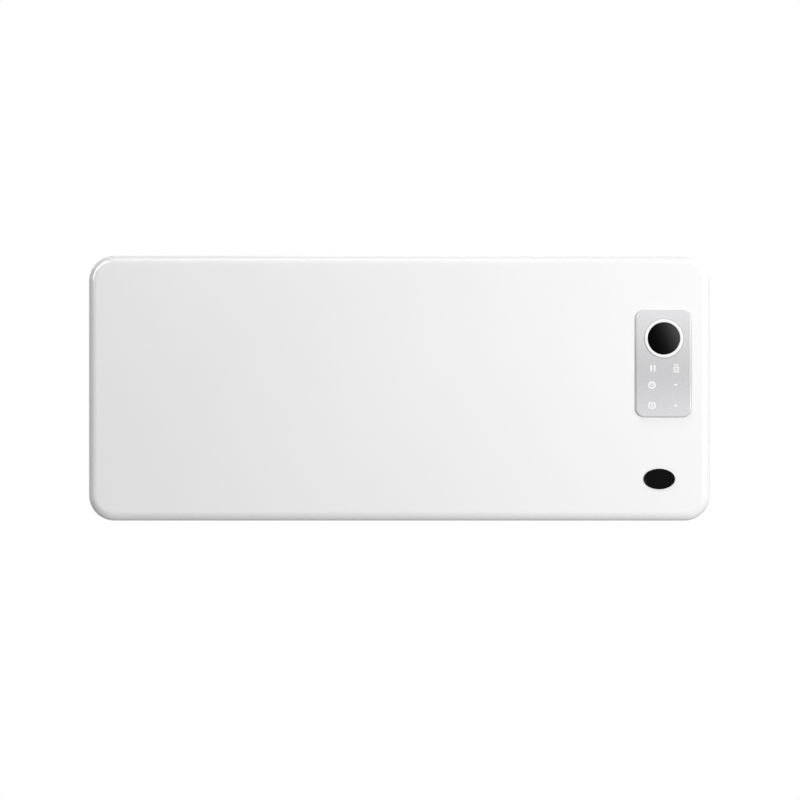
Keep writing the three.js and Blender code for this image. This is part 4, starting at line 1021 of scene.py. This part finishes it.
SOFTENED = [
    ("bracket_upright_left", "wall_bracket", 0.0004),
    ("bracket_upright_right", "wall_bracket", 0.0004),
    ("bracket_cross_rail", "wall_bracket", 0.0004),
    ("catch_left", "catch_left", 0.0005),
    ("catch_right", "catch_right", 0.0005),
    ("switch_body", "heater", 0.0003),
    ("terminal_block", "heater", 0.0005),
    ("relay_1", "heater", 0.0004),
    ("relay_2", "heater", 0.0004),
    ("transformer", "heater", 0.0004),
    ("board_carrier", "heater", 0.0004),
    ("control_housing", "heater", 0.0004),
    ("heating_element", "heater", 0.0003),
]
slots = {row["node"]: row["material_slot"] for row in frame["record"]["subparts"]}
for node, body, width in SOFTENED:
    hand_over(pressed_copy(node, node + "_finished", width), body, slots[node], node)

# ---- Rocker ----

ROCKER_PIVOT = Vector((0.4218, -0.035, -0.105))
ROCKER_TILT = math.radians(9)
ROCKER_SLOPE = math.atan2(0.0012, 0.0117)


def on_sign(mark):
    mark.bar(0, 0, 0.0008, 0.0036)


def off_sign(mark):
    mark.arc(0, 0, 0.0015, 0.0007)


def rocker():
    """The rocker, with its signs on its two sloping halves, tilted as it rests."""
    piece = pressed_copy("switch_rocker", "rocker", 0.0004)
    hand_over(piece, "switch_rocker", "black_plastic", "switch_rocker")
    facing_side = Matrix.Rotation(math.pi / 2, 4, "Z")
    for name, draw, half in (("on", on_sign, 1), ("off", off_sign, -1)):
        mark = Mark()
        draw(mark)
        slope = Matrix.Rotation(half * ROCKER_SLOPE, 4, "Y")
        spot = Matrix.Translation((0.00207, 0, half * 0.0066))
        tilt = Matrix.Rotation(ROCKER_TILT, 4, "Y")
        place = Matrix.Translation(ROCKER_PIVOT) @ tilt @ spot @ slope @ facing_side
        mark.put("rocker_mark_" + name, place, "switch_rocker")


rocker()

# ---- Gland and probe ----


def gland():
    """The collar where a supply cord would enter."""
    low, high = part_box("cable_gland")
    outer = (high.x - low.x) / 2
    bore = 0.0045
    neck = 0.008
    seat = low.z + 0.003
    profile = [
        (bore, low.z + 0.0008),
        (bore + 0.0008, low.z),
        (outer - 0.0012, low.z),
        (outer - 0.0004, low.z + 0.0003),
        (outer, low.z + 0.001),
        (outer, seat - 0.0003),
        (outer - 0.0003, seat),
        (neck, seat),
        (neck, high.z - 0.0006),
        (neck - 0.0006, high.z),
        (bore + 0.0004, high.z),
        (bore, high.z - 0.0004),
        (bore, low.z + 0.0008),
    ]
    piece = new_piece("cord_gland", turned(profile, 2, middle(low, high), 64), 30)
    return hand_over(piece, "heater", "black_plastic", "cable_gland")


def probe():
    """The room temperature probe, with a round tip."""
    low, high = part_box("room_sensor")
    radius = (high.x - low.x) / 2
    profile = [(0, low.z)]
    for turn in quarter_turns(6):
        profile.append((radius * math.sin(turn), low.z + radius * (1 - math.cos(turn))))
    profile += [(radius, high.z - 0.0004), (radius - 0.0004, high.z), (0, high.z)]
    piece = new_piece("probe", turned(profile, 2, middle(low, high), 32), 40)
    return hand_over(piece, "heater", "black_plastic", "room_sensor")


def probe_holder():
    low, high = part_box("sensor_holder")
    outer = (high.x - low.x) / 2
    bore, neck, seat = 0.0028, 0.0045, low.z + 0.0016
    profile = [
        (bore, low.z + 0.0004),
        (bore + 0.0004, low.z),
        (outer - 0.0006, low.z),
        (outer, low.z + 0.0006),
        (outer, seat),
        (neck, seat),
        (neck, high.z - 0.0004),
        (neck - 0.0004, high.z),
        (bore, high.z),
        (bore, low.z + 0.0004),
    ]
    piece = new_piece("probe_holder", turned(profile, 2, middle(low, high), 40), 30)
    return hand_over(piece, "heater", "white_plastic", "sensor_holder")


gland()
probe()
probe_holder()

# ---- Floor, light and camera ----

FLOOR_LEVEL = -0.9
FLOOR_RADIUS = 3.4
FLOOR_LIFT = 0.74


def floor():
    """A round pale floor, lifted to near white for the camera alone, so that it keeps shadows."""
    bm = bmesh.new()
    level = Matrix.Translation((0, 0, FLOOR_LEVEL))
    bmesh.ops.create_circle(bm, cap_ends=True, radius=FLOOR_RADIUS, segments=96, matrix=level)
    piece = new_piece("floor", bm)
    made, tree, shader = shader_of("floor_paint")
    shader.inputs["Base Color"].default_value = (0.42, 0.42, 0.42, 1)
    shader.inputs["Roughness"].default_value = 0.8
    light_path = tree.nodes.new("ShaderNodeLightPath")
    lift = tree.nodes.new("ShaderNodeMath")
    lift.operation = "MULTIPLY"
    lift.inputs[1].default_value = FLOOR_LIFT
    tree.links.new(light_path.outputs["Is Camera Ray"], lift.inputs[0])
    shader.inputs["Emission Color"].default_value = (1, 1, 1, 1)
    tree.links.new(lift.outputs[0], shader.inputs["Emission Strength"])
    piece.data.materials.append(made)


def surroundings(level):
    """A white world for the camera and for reflections, and a soft level of light for the rest."""
    world = bpy.data.worlds.new("studio")
    scene.world = world
    world.use_nodes = True
    tree = world.node_tree
    background = tree.nodes["Background"]
    background.inputs["Color"].default_value = (1, 1, 1, 1)
    path = tree.nodes.new("ShaderNodeLightPath")
    seen = path.outputs["Is Camera Ray"]
    for name in ("Is Glossy Ray", "Is Transmission Ray"):
        add = tree.nodes.new("ShaderNodeMath")
        add.operation = "MAXIMUM"
        tree.links.new(seen, add.inputs[0])
        tree.links.new(path.outputs[name], add.inputs[1])
        seen = add.outputs[0]
    strength = span(tree, seen, level, 1, 0, 1)
    tree.links.new(strength, background.inputs["Strength"])


def soft_light(name, place, aim, size, power, along=(0, 0, 1), sheen_only=False):
    """A soft box: the second of its sizes runs along a direction."""
    light = bpy.data.lights.new(name, "AREA")
    light.shape = "RECTANGLE"
    light.size, light.size_y = size
    light.energy = power
    back = (Vector(place) - Vector(aim)).normalized()
    side = Vector(along).cross(back).normalized()
    axes = Matrix((side, back.cross(side), back)).transposed()
    lamp = bpy.data.objects.new(name, light)
    lamp.matrix_world = Matrix.Translation(place) @ axes.to_4x4()
    lamp.visible_diffuse = not sheen_only
    lamp.visible_camera = False
    scene.collection.objects.link(lamp)


PICTURE_WIDTH = 1.1187


def camera():
    """Straight on to the front, from far off."""
    lens = bpy.data.cameras.new("camera")
    lens.lens = 200
    lens.sensor_width = 36
    lens.clip_end = 100
    distance = PICTURE_WIDTH * lens.lens / lens.sensor_width
    eye = bpy.data.objects.new("camera", lens)
    eye.location = (0.00084, panel_low.y - distance, -0.01657)
    eye.rotation_euler = (math.pi / 2, 0, 0)
    scene.collection.objects.link(eye)
    scene.camera = eye


floor()
surroundings(0.47)
soft_light("key", (1.65, -2.2, 0.14), (0.1, -0.08, 0), (0.8, 0.8), 39.8)
soft_light("above", (-0.1, -0.55, 1.35), (-0.1, -0.07, 0.18), (0.46, 0.92), 4.7, (1, 0, 0))
soft_light("corner", (-1.12, -0.66, 0.74), (-0.41, -0.08, 0.16), (0.5, 1.2), 19, (1, 0, 1), True)
soft_light("back", (0.9, 2.2, 1.4), (0, 0, 0), (2.4, 2.4), 15)
camera()
scene.view_settings.view_transform = "Standard"
